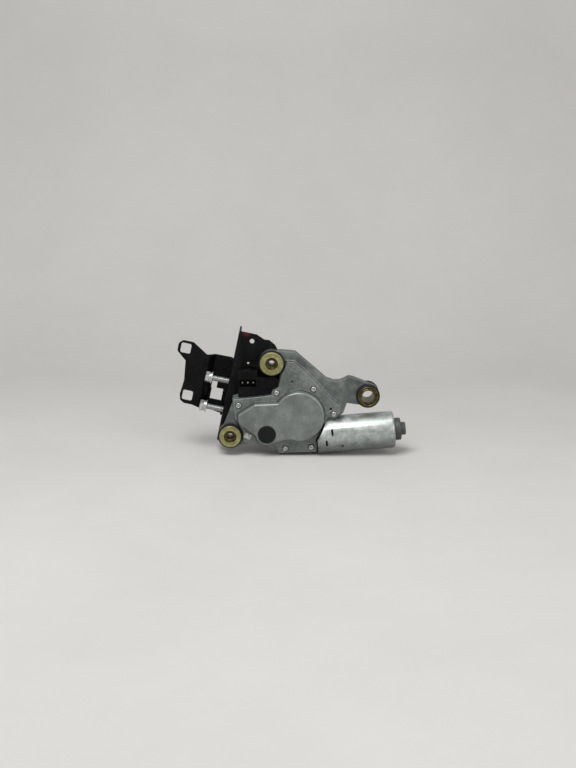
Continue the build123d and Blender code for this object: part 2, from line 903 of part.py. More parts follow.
with BuildPart() as worm_wheel:
    loft(sections=sections, ruled=True)
    with BuildSketch(level(wheel_bottom)):
        with Locations(wheel_centre):
            Circle(axle_radius + wheel_bore_gap)
    extrude(amount=wheel_width, mode=Mode.SUBTRACT)
    with BuildSketch(level(wheel_top - clip_recess)):
        with Locations(wheel_centre):
            Circle(clip_recess_radius)
    extrude(amount=clip_recess, mode=Mode.SUBTRACT)
    with BuildSketch(level(wheel_bottom + 1)):
        with Locations(crank_place):
            Circle(crank_pin_radius)
    extrude(amount=wheel_width, mode=Mode.SUBTRACT)
    with BuildSketch(level(wheel_top - 2.5)):
        with Locations(wheel_centre):
            Circle(wheel_root - 2.5)
            Circle(wheel_root - 6.5, mode=Mode.SUBTRACT)
    extrude(amount=2.5, mode=Mode.SUBTRACT)

finish_node(worm_wheel.part, "worm_wheel")

with BuildPart() as crank_pin:
    with BuildSketch(level(wheel_bottom + 1)):
        with Locations(crank_place):
            Circle(crank_pin_radius)
    extrude(amount=rod_bottom - seat_gap - wheel_bottom - 1)
    chamfer(crank_pin.edges().group_by(Axis.Y)[0], length=0.4)

finish_node(crank_pin.part, "crank_pin")

with BuildPart() as park_disc:
    with BuildSketch(level(wheel_bottom - park_disc_thickness)):
        with Locations(wheel_centre):
            Circle(park_disc_radius)
            Circle(wheel_boss_radius + 1.5, mode=Mode.SUBTRACT)
        with Locations((wheel_x, wheel_z - park_disc_radius)):
            Rectangle(6.0, 6.0, mode=Mode.SUBTRACT)
    extrude(amount=park_disc_thickness)

finish_node(park_disc.part, "park_disc")

with BuildPart() as wheel_axle:
    with BuildSketch(level(floor_back)):
        with Locations(wheel_centre):
            Circle(axle_radius)
    extrude(amount=axle_top - floor_back)
    with BuildSketch(level(wheel_top - clip_recess + 0.15)):
        with Locations(wheel_centre):
            Circle(axle_radius + 1)
            Circle(axle_radius - 0.5, mode=Mode.SUBTRACT)
    extrude(amount=0.7, mode=Mode.SUBTRACT)

finish_node(wheel_axle.part, "wheel_axle")

with BuildPart() as wheel_clip:
    with BuildSketch(level(wheel_top - clip_recess + 0.15)):
        with Locations(wheel_centre):
            Circle(clip_recess_radius - seat_gap)
            Circle(axle_radius - 0.5, mode=Mode.SUBTRACT)
        with Locations((wheel_x, wheel_z + axle_radius)):
            Rectangle(1.8, 4.0, mode=Mode.SUBTRACT)
    extrude(amount=0.7)

finish_node(wheel_clip.part, "wheel_clip")

# ---------------------------------------------------------------- armature

worm_tip_radius = worm_pitch_radius + 0.8 * worm_module
worm_root_radius = worm_pitch_radius - 1.15 * worm_module
thread_pitch = pi * worm_module
worm_length = worm_turns * thread_pitch
shaft_start = end_bush_start + 0.2
shaft_end = can_end + neck_length - can_sheet - 0.3
core_start = 46.0
core_length = 38.0
slot_count = 8
winding_overhang = 5.0
commutator_start = 29.0
commutator_length = 11.0
commutator_radius = 8.5


def motor_cylinder(start, length, outer, inner=0.0, mode=Mode.ADD):
    """Add or cut a round or tubular length centred on the motor axis."""
    with BuildSketch(across_motor(start)) as ring:
        Circle(outer)
        if inner:
            Circle(inner, mode=Mode.SUBTRACT)
    extrude(ring.sketch, amount=length, mode=mode)


with BuildPart() as worm_thread:
    foot_half = thread_pitch / 4 - worm_backlash + (worm_pitch_radius - worm_root_radius) * tooth_slope
    tip_half = thread_pitch / 4 - worm_backlash - (worm_tip_radius - worm_pitch_radius) * tooth_slope
    buried = 0.3
    helix_radius = worm_root_radius - buried
    with BuildLine():
        Helix(pitch=thread_pitch, height=worm_length, radius=helix_radius)
    with BuildSketch(Plane(origin=(helix_radius, 0, 0), x_dir=(1, 0, 0), z_dir=(0, -1, 0))):
        with BuildLine():
            Polyline((0, -foot_half - buried * tooth_slope), (0, foot_half + buried * tooth_slope),
                     (worm_tip_radius - helix_radius, tip_half),
                     (worm_tip_radius - helix_radius, -tip_half), close=True)
        make_face()
    sweep(is_frenet=True)

# A gap of the thread, not a ridge, faces the wheel at the mesh
thread_start = across_motor(-worm_length / 2 - thread_pitch / 4)

with BuildPart() as armature_shaft:
    motor_cylinder(shaft_start, shaft_end - shaft_start, armature_shaft_radius)
    motor_cylinder(-worm_length / 2 - 0.6, worm_length + 1.2, worm_root_radius)
    with Locations(thread_start.location):
        add(worm_thread.part)

finish_node(armature_shaft.part, "armature_shaft")

with BuildSketch() as core_slot:
    with Locations((core_radius - 4.0, 0)):
        Rectangle(5.5, 3.6)
    with Locations((core_radius, 0)):
        Rectangle(4.0, 1.4)

with BuildPart() as armature_core:
    motor_cylinder(core_start, core_length, core_radius, armature_shaft_radius)
    with BuildSketch(across_motor(core_start)):
        with PolarLocations(0, slot_count):
            add(core_slot.sketch)
    extrude(amount=core_length, mode=Mode.SUBTRACT)

finish_node(armature_core.part, "armature_core")

with BuildPart() as armature_windings:
    with BuildSketch(across_motor(core_start)):
        with PolarLocations(0, slot_count):
            with Locations((core_radius - 4.0, 0)):
                Rectangle(5.3, 3.4)
    extrude(amount=core_length)
    motor_cylinder(core_start - winding_overhang, winding_overhang, core_radius - 1.2,
                   armature_shaft_radius + 1.5)
    motor_cylinder(core_start + core_length, winding_overhang, core_radius - 1.2,
                   armature_shaft_radius + 1.5)

finish_node(armature_windings.part, "armature_windings")

with BuildPart() as commutator:
    with BuildSketch(across_motor(commutator_start)):
        Circle(commutator_radius)
        Circle(armature_shaft_radius, mode=Mode.SUBTRACT)
        with PolarLocations(commutator_radius, slot_count):
            Rectangle(1.6, 0.6, mode=Mode.SUBTRACT)
    extrude(amount=commutator_length)

finish_node(commutator.part, "commutator")

# ------------------------------------------------------------ motor bearings, brushes, can and magnets

with BuildPart() as end_bearing:
    motor_cylinder(end_bush_start, worm_bore_start - end_bush_start, end_bush_radius,
                   armature_shaft_radius + running_gap)

finish_node(end_bearing.part, "end_bearing")

with BuildPart() as thrust_button:
    motor_cylinder(button_end, end_bush_start - button_end, end_bush_radius - thread_gap)

finish_node(thrust_button.part, "thrust_button")

with BuildPart() as middle_bearing:
    motor_cylinder(middle_wall_start, motor_face - middle_wall_start, middle_bush_radius,
                   armature_shaft_radius + running_gap)

finish_node(middle_bearing.part, "middle_bearing")

holder_radius = can_radius - can_sheet - 0.1
skirt_start = motor_face + 1.5
holder_plug_radius = can_radius - can_sheet - 0.2
holder_wall = 2.0
brush_gap = 0.3
brush_width = 5.0
brush_length = 6.0
brush_middle = commutator_start + commutator_length / 2
holder_end = commutator_start + commutator_length

with BuildPart() as brush_holder:
    motor_cylinder(motor_face, can_start - motor_face, holder_radius)
    motor_cylinder(can_start, holder_end - can_start, holder_plug_radius)
    motor_cylinder(motor_face + holder_wall, holder_end - motor_face - holder_wall,
                   commutator_radius + 1.0, mode=Mode.SUBTRACT)
    motor_cylinder(motor_face, holder_wall, armature_shaft_radius + 1.0, mode=Mode.SUBTRACT)
    with BuildSketch(across_motor(brush_middle - brush_width / 2)):
        Rectangle(2 * can_radius, brush_width)
    extrude(amount=brush_width, mode=Mode.SUBTRACT)
    with BuildSketch(level(rim_height - seat_gap)):
        add(cover_outline.sketch)
        offset(amount=seat_gap)
    extrude(amount=20.0, mode=Mode.SUBTRACT)
    with BuildSketch(level(floor_back - 10)):
        with Locations(wheel_centre):
            Circle(dome_radius + seat_gap)
    extrude(amount=40.0, mode=Mode.SUBTRACT)

finish_node(brush_holder.part, "brush_holder")


def brush_side(side):
    """Plane square to the brushes, on one side of the commutator, with z pointing outwards."""
    return Plane(
        origin=across_motor(brush_middle).from_local_coords((0, 0, 0)),
        x_dir=(tilt_cos, 0, tilt_sin),
        z_dir=(0, side, 0),
    )


brush_start = commutator_radius + brush_gap
spring_start = brush_start + brush_length

with BuildPart() as carbon_brushes:
    for side in (-1, 1):
        with BuildSketch(brush_side(side).offset(brush_start)):
            Rectangle(brush_width - 0.2, brush_width - 0.2)
        extrude(amount=brush_length)

finish_node(carbon_brushes.part, "carbon_brushes")

with BuildPart() as brush_springs:
    for side in (-1, 1):
        with BuildSketch(brush_side(side).offset(spring_start)):
            Circle(1.9)
            Circle(1.2, mode=Mode.SUBTRACT)
        extrude(amount=holder_plug_radius - spring_start - 0.2)

finish_node(brush_springs.part, "brush_springs")

can_inner = can_radius - can_sheet
can_corner = 2.5
seam_width = 0.7
seam_depth = 0.35
window_width = 2.0
window_height = 6.4
window_places = ((25.6, -4.6), (31.9, 6.2))
notch_size = 2.0
notch_place = (41.4, -8.6)

with BuildPart() as motor_can:
    motor_cylinder(can_start, can_end - can_start, can_radius)
    fillet(motor_can.edges().filter_by_position(Axis.X, 100, 200), radius=can_corner)
    motor_cylinder(can_end, neck_length, neck_radius)
    motor_cylinder(can_start, can_end - can_sheet - can_start, can_inner, mode=Mode.SUBTRACT)
    motor_cylinder(can_end - can_sheet, neck_length, neck_radius - can_sheet, mode=Mode.SUBTRACT)
    # Skirt that is crimped over the brush holder, cut away where the gear chamber meets it
    motor_cylinder(skirt_start, can_start - skirt_start, can_radius, can_inner)
    with BuildSketch(level(rim_height - seat_gap)):
        add(cover_outline.sketch)
        offset(amount=seat_gap)
    extrude(amount=20.0, mode=Mode.SUBTRACT)
    with BuildSketch(level(floor_back - 10)):
        with Locations(wheel_centre):
            Circle(dome_radius + 2 * seat_gap)
    extrude(amount=40.0, mode=Mode.SUBTRACT)
    # Rolled seam along the front and the punched windows beside it
    with BuildSketch(along_motor().offset(can_radius - seam_depth)):
        with Locations(((can_start + can_end) / 2, 0)):
            Rectangle(can_end - can_start, seam_width)
    extrude(amount=1.0, mode=Mode.SUBTRACT)
    with BuildSketch(along_motor()):
        with Locations(*window_places):
            RectangleRounded(window_width, window_height, 0.7)
        with Locations(notch_place):
            Rectangle(notch_size, notch_size)
    extrude(amount=can_radius + 1, mode=Mode.SUBTRACT)

finish_node(motor_can.part, "motor_can")

with BuildPart() as can_bearing:
    motor_cylinder(can_end - 0.6, neck_length - 0.8, neck_radius - can_sheet,
                   armature_shaft_radius + running_gap)

finish_node(can_bearing.part, "can_bearing")

magnet_start = core_start - 2.0
magnet_length = core_length + 4.0

with BuildPart() as field_magnets:
    with BuildSketch(across_motor(magnet_start)):
        Circle(can_inner)
        Circle(core_radius + air_gap, mode=Mode.SUBTRACT)
        Rectangle(2 * can_radius, 13.0, mode=Mode.SUBTRACT)
    extrude(amount=magnet_length)

finish_node(field_magnets.part, "field_magnets")

with BuildPart() as bearing_cap:
    motor_cylinder(can_end, cap_flange, cap_radius, neck_radius)
    chamfer(bearing_cap.edges().group_by(Axis((0, 0, 0), (1, 0, 0)))[-1], length=0.8)
    motor_cylinder(can_end + cap_flange - 1.5, 1.5, neck_radius)
    motor_cylinder(can_end + cap_flange, cap_end - can_end - cap_flange, cap_boss_radius)

finish_node(bearing_cap.part, "bearing_cap")

# ---------------------------------------------------------------- rubber mounts

rubber_end = face_height
disc_bottom = disc_top - disc_thickness


def spool(centre, inner, groove, bottom, top, flange_bottom_radius, flange_top_radius):
    """Rubber mount: a sleeve bore, two flanges and the groove that its ear sits in."""
    for low, high, radius in (
        (bottom, ear_bottom, flange_bottom_radius),
        (ear_bottom, ear_top, groove),
        (ear_top, top, flange_top_radius),
    ):
        with BuildSketch(level(low)) as band:
            with Locations(centre):
                Circle(radius)
                Circle(inner, mode=Mode.SUBTRACT)
        extrude(band.sketch, amount=high - low)


def disc_sleeve(centre, disc_radius):
    """Hollow rivet with a flanged head: a disc, a stepped bore and a tube down to the bracket."""
    with BuildSketch(level(face_height)) as tube:
        with Locations(centre):
            Circle(sleeve_radius)
    extrude(tube.sketch, amount=disc_bottom - face_height)
    with BuildSketch(level(disc_bottom)) as disc:
        with Locations(centre):
            Circle(disc_radius)
    extrude(disc.sketch, amount=disc_thickness)
    with BuildSketch(level(disc_top - sleeve_recess)) as recess:
        with Locations(centre):
            Circle(sleeve_recess_radius)
    extrude(recess.sketch, amount=sleeve_recess, mode=Mode.SUBTRACT)
    with BuildSketch(level(face_height)) as bore:
        with Locations(centre):
            Circle(sleeve_bore_radius)
    extrude(bore.sketch, amount=disc_top - face_height, mode=Mode.SUBTRACT)


with BuildPart() as upper_rubber:
    spool(upper, sleeve_radius, ear_hole_radius, rubber_end, disc_bottom,
          upper_rubber_radius - 1, upper_rubber_radius)
    fillet(upper_rubber.edges().group_by(Axis.Y)[0].sort_by(SortBy.LENGTH)[-1], radius=1.0)

finish_node(upper_rubber.part, "upper_rubber")

with BuildPart() as lower_rubber:
    spool(lower, sleeve_radius, ear_hole_radius, rubber_end, disc_bottom,
          lower_rubber_radius - 1, lower_rubber_radius)
    fillet(lower_rubber.edges().group_by(Axis.Y)[0].sort_by(SortBy.LENGTH)[-1], radius=1.0)

finish_node(lower_rubber.part, "lower_rubber")

arm_rubber_bottom = arm_sleeve_bottom + 2.0
arm_rubber_top = disc_top - 1.5

with BuildPart() as arm_rubber:
    with BuildSketch(level(arm_rubber_bottom)):
        with Locations(arm_eye):
            Circle(arm_rubber_radius)
    extrude(amount=ear_bottom - 4 - arm_rubber_bottom)
    with BuildSketch(level(ear_bottom - 4)):
        with Locations(arm_eye):
            Circle(ear_hole_radius)
    extrude(amount=ear_top - ear_bottom + 4)
    with BuildSketch(level(ear_top)):
        with Locations(arm_eye):
            Circle(arm_rubber_radius)
    extrude(amount=arm_rubber_top - ear_top)
    fillet(arm_rubber.edges().group_by(Axis.Y)[0], radius=1.2)
    with BuildSketch(level(arm_rubber_bottom)):
        with Locations(arm_eye):
            Circle(arm_sleeve_radius)
    extrude(amount=arm_rubber_top - arm_rubber_bottom, mode=Mode.SUBTRACT)

finish_node(arm_rubber.part, "arm_rubber")

with BuildPart() as upper_sleeve:
    disc_sleeve(upper, upper_disc_radius)

finish_node(upper_sleeve.part, "upper_sleeve")

with BuildPart() as lower_sleeve:
    disc_sleeve(lower, lower_disc_radius)

finish_node(lower_sleeve.part, "lower_sleeve")

with BuildPart() as arm_sleeve:
    with BuildSketch(level(arm_sleeve_bottom)):
        with Locations(arm_eye):
            Circle(arm_sleeve_radius)
            Circle(arm_bore_radius, mode=Mode.SUBTRACT)
    extrude(amount=disc_top - arm_sleeve_bottom)
    chamfer(arm_sleeve.edges().group_by(Axis.Y)[0], length=0.6)

finish_node(arm_sleeve.part, "arm_sleeve")

# ---------------------------------------------------------------- main bracket

upper_right = (upper_x - lower_x) * cos(radians(bracket_tilt)) - (upper_z - lower_z) * sin(
    radians(bracket_tilt)
)
upper_rise = (upper_x - lower_x) * sin(radians(bracket_tilt)) + (upper_z - lower_z) * cos(
    radians(bracket_tilt)
)
upper_on_face = (upper_right, upper_rise)
bracket_ear_radius = 12.0

face_points = [
    (bend_offset + bend_radius, flange_bottom),
    (0.2, -11.5),
    (2.9, 6.1),
    (-5.6, 17.9),
    (-6.5, 41.9),
    (-4.7, 50.7),
    (-1.0, 56.5),
    (22.7, 64.5),
    (36.0, 74.8),
    (36.7, 84.8),
    (29.9, 92.9),
    (25.3, 98.5),
    (18.4, 102.1),
    (13.5, 101.5),
    (5.0, 105.0),
    (bend_offset + bend_radius, 105.0),
]
face_hole_place = (1.8, 97.4)
face_slot_place = (7.8, 70.4)
face_pilot_place = (2.5, 74.6)
rivet_places = (33.0, 58.0, 69.0)
rivet_height = 10.7
rivet_depth = face_height - rivet_height
rivet_radius = 1.8
rivet_head_radius = 2.4
lean_sin = sin(radians(flange_lean))
lean_cos = cos(radians(flange_lean))
flange_length = flange_top - flange_bottom

with BuildPart() as main_bracket:
    # Fold: the flange runs back from the face and leans outwards
    fold_start = bracket_level(face_height)
    section_plane = Plane(
        origin=fold_start.from_local_coords((0, flange_bottom, 0)),
        x_dir=fold_start.x_dir,
        z_dir=fold_start.y_dir,
    )
    with BuildSketch(section_plane):
        with BuildLine():
            FilletPolyline(
                (bend_offset + bend_radius + 1.0, 0),
                (bend_offset, 0),
                (bend_offset - flange_depth * lean_sin, flange_depth * lean_cos),
                radius=bend_radius,
            )
            offset(amount=bracket_sheet, side=Side.RIGHT)
        make_face()
    extrude(amount=flange_length)
    # Face between the two mounts
    with BuildSketch(bracket_level(face_height - bracket_sheet)):
        with BuildLine():
            Polyline(*face_points, close=True)
        make_face()
        with Locations(upper_on_face, (0, 0)):
            Circle(bracket_ear_radius)
    extrude(amount=bracket_sheet)
    # Pressed bead down the face and a raised pad with a slot
    with BuildSketch(bracket_level(face_height)):
        with Locations(Location((-4.5, 80.0), 5.0)):
            SlotOverall(40.0, 2.4, rotation=90)
        with Locations(face_slot_place):
            RectangleRounded(11.0, 5.0, 1.5)
            RectangleRounded(7.0, 2.0, 0.8, mode=Mode.SUBTRACT)
    extrude(amount=0.8)
    # Holes of the mounts, the locating hole and a small pilot hole
    with BuildSketch(bracket_level(face_height - bracket_sheet)):
        with Locations(upper_on_face, (0, 0)):
            Circle(sleeve_bore_radius + 0.2)
        with Locations(face_hole_place):
            Circle(2.4)
        with Locations(face_pilot_place):
            Circle(1.1)
    extrude(amount=2 * bracket_sheet, mode=Mode.SUBTRACT)
    for rise in bolt_places:
        with BuildSketch(flange_plane(rise)):
            with Locations((bolt_depth, 0)):
                Circle(bolt_radius + 0.3)
        extrude(amount=-2 * bracket_sheet, mode=Mode.SUBTRACT)
    for rise in rivet_places:
        with BuildSketch(flange_plane(rise)):
            with Locations((rivet_depth, 0)):
                Circle(rivet_radius)
        extrude(amount=-2 * bracket_sheet, mode=Mode.SUBTRACT)

finish_node(main_bracket.part, "main_bracket")

# ---------------------------------------------------------------- side bracket and its fastenings

side_points = [
    (-12.0, 10.5),
    (-28.2, 13.0),
    (-34.0, 13.6),
    (-45.5, 16.2),
    (-54.0, 16.2),
    (-58.4, 18.8),
    (-59.8, 25.0),
    (-58.2, 40.0),
    (-60.6, 60.5),
    (-70.8, 69.0),
    (-70.8, 77.0),
    (-67.0, 80.8),
    (-56.0, 80.8),
    (-40.5, 71.2),
    (-12.0, 71.8),
]
square_hole_places = ((-62.7, 73.2), (-51.8, 25.0))
window_place = (-23.0, 30.5)
window_notch_place = (-27.0, 40.0)
square_hole_corner = 2.0
joggle_inner = -32.5
joggle_outer = -38.5
tab_height = 14.5
tab_start = face_height - tab_height
side_sheet_back = face_height - side_right_height
side_left_back = face_height - side_left_height
tab_end = side_sheet_back / lean_cos

with BuildPart() as side_bracket:
    side_fold = bracket_level(face_height)
    side_section = Plane(
        origin=side_fold.from_local_coords((0, 8.0, 0)), x_dir=side_fold.x_dir, z_dir=side_fold.y_dir
    )
    with BuildSketch(side_section):
        with BuildLine():
            FilletPolyline(
                (bend_offset - tab_start * lean_sin, tab_start * lean_cos),
                (bend_offset - tab_end * lean_sin, tab_end * lean_cos),
                (joggle_inner, side_sheet_back),
                (joggle_outer, side_left_back),
                (-75.0, side_left_back),
                radius=bend_radius + 0.2,
            )
            offset(amount=bracket_sheet, side=Side.LEFT)
        make_face()
    extrude(amount=80.0)
    with BuildSketch(bracket_level(0)):
        with BuildLine():
            Polyline(*side_points, close=True)
        make_face()
        offset(amount=-3.0)
        offset(amount=3.0)
        with Locations(*square_hole_places):
            RectangleRounded(side_hole, side_hole, square_hole_corner, mode=Mode.SUBTRACT)
        with Locations(window_place):
            Rectangle(12.0, 12.6, mode=Mode.SUBTRACT)
        with Locations(window_notch_place):
            Rectangle(5.6, 8.0, mode=Mode.SUBTRACT)
    extrude(amount=face_height, mode=Mode.INTERSECT)
    for rise in rivet_places:
        with BuildSketch(flange_plane(rise)):
            with Locations((rivet_depth, 0)):
                Circle(rivet_radius)
        extrude(amount=2 * bracket_sheet, mode=Mode.SUBTRACT)

finish_node(side_bracket.part, "side_bracket")

with BuildPart() as bracket_rivets:
    for rise in rivet_places:
        with BuildSketch(flange_plane(rise).offset(-bracket_sheet)):
            with Locations((rivet_depth, 0)):
                Circle(rivet_radius)
        extrude(amount=2 * bracket_sheet)
        with BuildSketch(flange_plane(rise).offset(bracket_sheet)):
            with Locations((rivet_depth, 0)):
                Circle(rivet_head_radius)
        extrude(amount=1.1)
        with BuildSketch(flange_plane(rise).offset(-bracket_sheet)):
            with Locations((rivet_depth, 0)):
                Circle(rivet_head_radius)
        extrude(amount=-1.1)

finish_node(bracket_rivets.part, "bracket_rivets")

head_corner_radius = bolt_flats / 2 / cos(radians(30))
nut_height = 5.0

with BuildPart() as bracket_bolts:
    for rise in bolt_places:
        with BuildSketch(flange_plane(rise).offset(bolt_standoff)):
            with Locations((bolt_depth, 0)):
                RegularPolygon(head_corner_radius, 6)
        extrude(amount=bolt_head)
        with BuildSketch(flange_plane(rise).offset(bolt_standoff - bolt_length)):
            with Locations((bolt_depth, 0)):
                Circle(bolt_radius)
        extrude(amount=bolt_length)

finish_node(bracket_bolts.part, "bracket_bolts")

with BuildPart() as spring_washers:
    for rise in bolt_places:
        with BuildSketch(flange_plane(rise).offset(bolt_standoff - washer_thickness)):
            with Locations((bolt_depth, 0)):
                Circle(washer_radius - 0.9)
                Circle(bolt_radius + thread_gap, mode=Mode.SUBTRACT)
            with Locations((bolt_depth, washer_radius)):
                Rectangle(1.0, washer_radius, mode=Mode.SUBTRACT)
        extrude(amount=washer_thickness)

finish_node(spring_washers.part, "spring_washers")

with BuildPart() as flat_washers:
    for rise in bolt_places:
        with BuildSketch(flange_plane(rise).offset(bolt_standoff - 2 * washer_thickness)):
            with Locations((bolt_depth, 0)):
                Circle(washer_radius)
                Circle(bolt_radius + thread_gap, mode=Mode.SUBTRACT)
        extrude(amount=washer_thickness)

finish_node(flat_washers.part, "flat_washers")

with BuildPart() as weld_nuts:
    for rise in bolt_places:
        with BuildSketch(flange_plane(rise).offset(-bracket_sheet)):
            with Locations((bolt_depth, 0)):
                RegularPolygon(head_corner_radius, 6)
                Circle(bolt_radius + thread_gap, mode=Mode.SUBTRACT)
        extrude(amount=-nut_height)

finish_node(weld_nuts.part, "weld_nuts")

# ---------------------------------------------------------------- connector and park switch

connector_points = [
    (-28.8, 36.0),
    (-28.8, 63.4),
    (-9.5, 63.4),
    (-9.5, 57.0),
    (8.5, 57.0),
    (12.6, 53.0),
    (12.6, 36.0),
]
connector_top = rim_height
socket_x = -19.3
socket_z = 50.6
socket_width = 16.4
socket_height = 7.6
socket_plate = 2.5
socket_floor = shelf_top + socket_plate
terminal_radius = 1.0
terminal_top = 41.0
terminal_pitch = 5.5
terminal_places = [(socket_x + step * terminal_pitch, socket_z) for step in (-1, 0, 1)]
lid_x = 1.2
lid_z = 50.0
lid_thickness = 1.0

with BuildPart() as connector_housing:
    with BuildSketch(level(shelf_top)):
        with BuildLine():
            Polyline(*connector_points, close=True)
        make_face()
        with BuildSketch(mode=Mode.PRIVATE) as notch:
            add(rim_outline.sketch)
            offset(amount=seat_gap)
        add(notch.sketch, mode=Mode.SUBTRACT)
        with Locations(upper):
            Circle(upper_rubber_radius + seat_gap, mode=Mode.SUBTRACT)
    extrude(amount=connector_top - shelf_top)
    with BuildSketch(level(socket_floor)):
        with Locations((socket_x, socket_z)):
            RectangleRounded(socket_width, socket_height, 1.0)
    extrude(amount=connector_top - socket_floor, mode=Mode.SUBTRACT)
    with BuildSketch(level(shelf_top + 0.5)):
        with Locations(*terminal_places):
            Circle(terminal_radius)
    extrude(amount=socket_floor - shelf_top, mode=Mode.SUBTRACT)
    # Latch for the plug on the upper side
    with BuildSketch(level(connector_top - 6.0)):
        with Locations((socket_x, 64.0)):
            Rectangle(8.0, 1.6)
    extrude(amount=4.0)

finish_node(connector_housing.part, "connector_housing")

with BuildPart() as connector_lid:
    with BuildSketch(level(connector_top)):
        with Locations((lid_x, lid_z)):
            RectangleRounded(15.0, 10.0, 1.5)
    extrude(amount=lid_thickness)
    chamfer(connector_lid.edges().group_by(Axis.Y)[0], length=0.4)

finish_node(connector_lid.part, "connector_lid")

with BuildPart() as connector_terminals:
    with BuildSketch(level(shelf_top + 0.5)):
        with Locations(*terminal_places):
            Circle(terminal_radius)
    extrude(amount=terminal_top - shelf_top - 0.5)
    chamfer(connector_terminals.edges().group_by(Axis.Y)[0], length=0.4)

finish_node(connector_terminals.part, "connector_terminals")

contact_plate_top = floor_top + 1.2
contact_plate_inner = wheel_boss_radius + 1.5
contact_plate_outer = 19.0
contact_direction = 135.0

with BuildPart() as contact_plate:
    with BuildSketch(wheel_level(floor_top)):
        Circle(contact_plate_outer)
        Circle(contact_plate_inner, mode=Mode.SUBTRACT)
        with BuildLine():
            Polyline((0, 0), around_pin(40.0, contact_direction - 40),
                     around_pin(40.0, contact_direction + 40), close=True)
        make_face(mode=Mode.INTERSECT)
    extrude(amount=contact_plate_top - floor_top)

finish_node(contact_plate.part, "contact_plate")

contact_gap = 0.2
contact_radii = (9.5, 11.8, 14.1)

with BuildPart() as contact_springs:
    with BuildSketch(wheel_level(contact_plate_top)):
        with Locations(*[Location(around_pin(radius, contact_direction), contact_direction)
                         for radius in contact_radii]):
            Rectangle(1.2, 8.0)
    extrude(amount=wheel_bottom - park_disc_thickness - contact_gap - contact_plate_top)

finish_node(contact_springs.part, "contact_springs")
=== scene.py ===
import json
import math

import bpy
from mathutils import Matrix, Vector

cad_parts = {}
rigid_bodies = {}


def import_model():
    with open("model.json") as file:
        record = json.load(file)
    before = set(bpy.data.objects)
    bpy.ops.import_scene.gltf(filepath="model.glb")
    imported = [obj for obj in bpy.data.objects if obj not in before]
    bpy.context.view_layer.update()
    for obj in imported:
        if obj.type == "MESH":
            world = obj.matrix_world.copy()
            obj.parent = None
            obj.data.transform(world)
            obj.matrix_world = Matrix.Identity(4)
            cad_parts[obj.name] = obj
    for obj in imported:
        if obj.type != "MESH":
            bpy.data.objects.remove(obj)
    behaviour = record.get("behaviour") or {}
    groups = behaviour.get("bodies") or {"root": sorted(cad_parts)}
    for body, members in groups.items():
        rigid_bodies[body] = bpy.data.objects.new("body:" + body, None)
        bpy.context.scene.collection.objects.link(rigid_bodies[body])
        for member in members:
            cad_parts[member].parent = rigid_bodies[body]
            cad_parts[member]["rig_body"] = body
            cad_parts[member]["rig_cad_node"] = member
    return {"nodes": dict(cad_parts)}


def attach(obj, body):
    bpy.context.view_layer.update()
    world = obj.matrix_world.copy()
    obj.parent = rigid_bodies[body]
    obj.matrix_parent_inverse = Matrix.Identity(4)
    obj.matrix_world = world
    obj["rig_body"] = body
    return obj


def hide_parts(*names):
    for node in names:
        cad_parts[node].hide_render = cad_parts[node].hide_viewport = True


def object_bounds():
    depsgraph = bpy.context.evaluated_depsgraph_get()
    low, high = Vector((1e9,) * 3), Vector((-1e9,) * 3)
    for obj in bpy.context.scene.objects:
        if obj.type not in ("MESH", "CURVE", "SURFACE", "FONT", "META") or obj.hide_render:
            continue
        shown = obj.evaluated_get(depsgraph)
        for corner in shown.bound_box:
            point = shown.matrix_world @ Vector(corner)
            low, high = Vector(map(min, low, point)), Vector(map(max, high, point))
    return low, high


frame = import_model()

cad_low, cad_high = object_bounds()

# Gear housing: one die casting in a zinc-grey aluminium alloy. It holds the gears, the shaft's
# boss on its back, the ears for the rubber mounts and the long arm. Its skin is dull and finely
# pitted, and every edge is eased where the two halves of the die meet.


def noise(tree, size, detail, roughness=0.5):
    """A noise over the piece's own coordinates, whose blotches are about the given size."""
    place = tree.nodes.new("ShaderNodeTexCoord")
    blotches = tree.nodes.new("ShaderNodeTexNoise")
    blotches.inputs["Scale"].default_value = 1 / size
    blotches.inputs["Detail"].default_value = detail
    blotches.inputs["Roughness"].default_value = roughness
    tree.links.new(place.outputs["Object"], blotches.inputs["Vector"])
    return blotches.outputs["Fac"]


def stretched(tree, value, low, high, to_low=0.0, to_high=1.0, smooth=False):
    """Maps what lies between two values onto what lies between two others."""
    stretch = tree.nodes.new("ShaderNodeMapRange")
    stretch.interpolation_type = "SMOOTHSTEP" if smooth else "LINEAR"
    stretch.inputs["From Min"].default_value = low
    stretch.inputs["From Max"].default_value = high
    stretch.inputs["To Min"].default_value = to_low
    stretch.inputs["To Max"].default_value = to_high
    tree.links.new(value, stretch.inputs["Value"])
    return stretch.outputs["Result"]


def laid_over(tree, colour, tone, mask):
    """Lays a tone over a colour, as thick as the mask says."""
    mix = tree.nodes.new("ShaderNodeMix")
    mix.data_type = "RGBA"
    mix.inputs["B"].default_value = (*tone, 1)
    tree.links.new(mask, mix.inputs["Factor"])
    tree.links.new(colour, mix.inputs["A"])
    return mix.outputs["Result"]


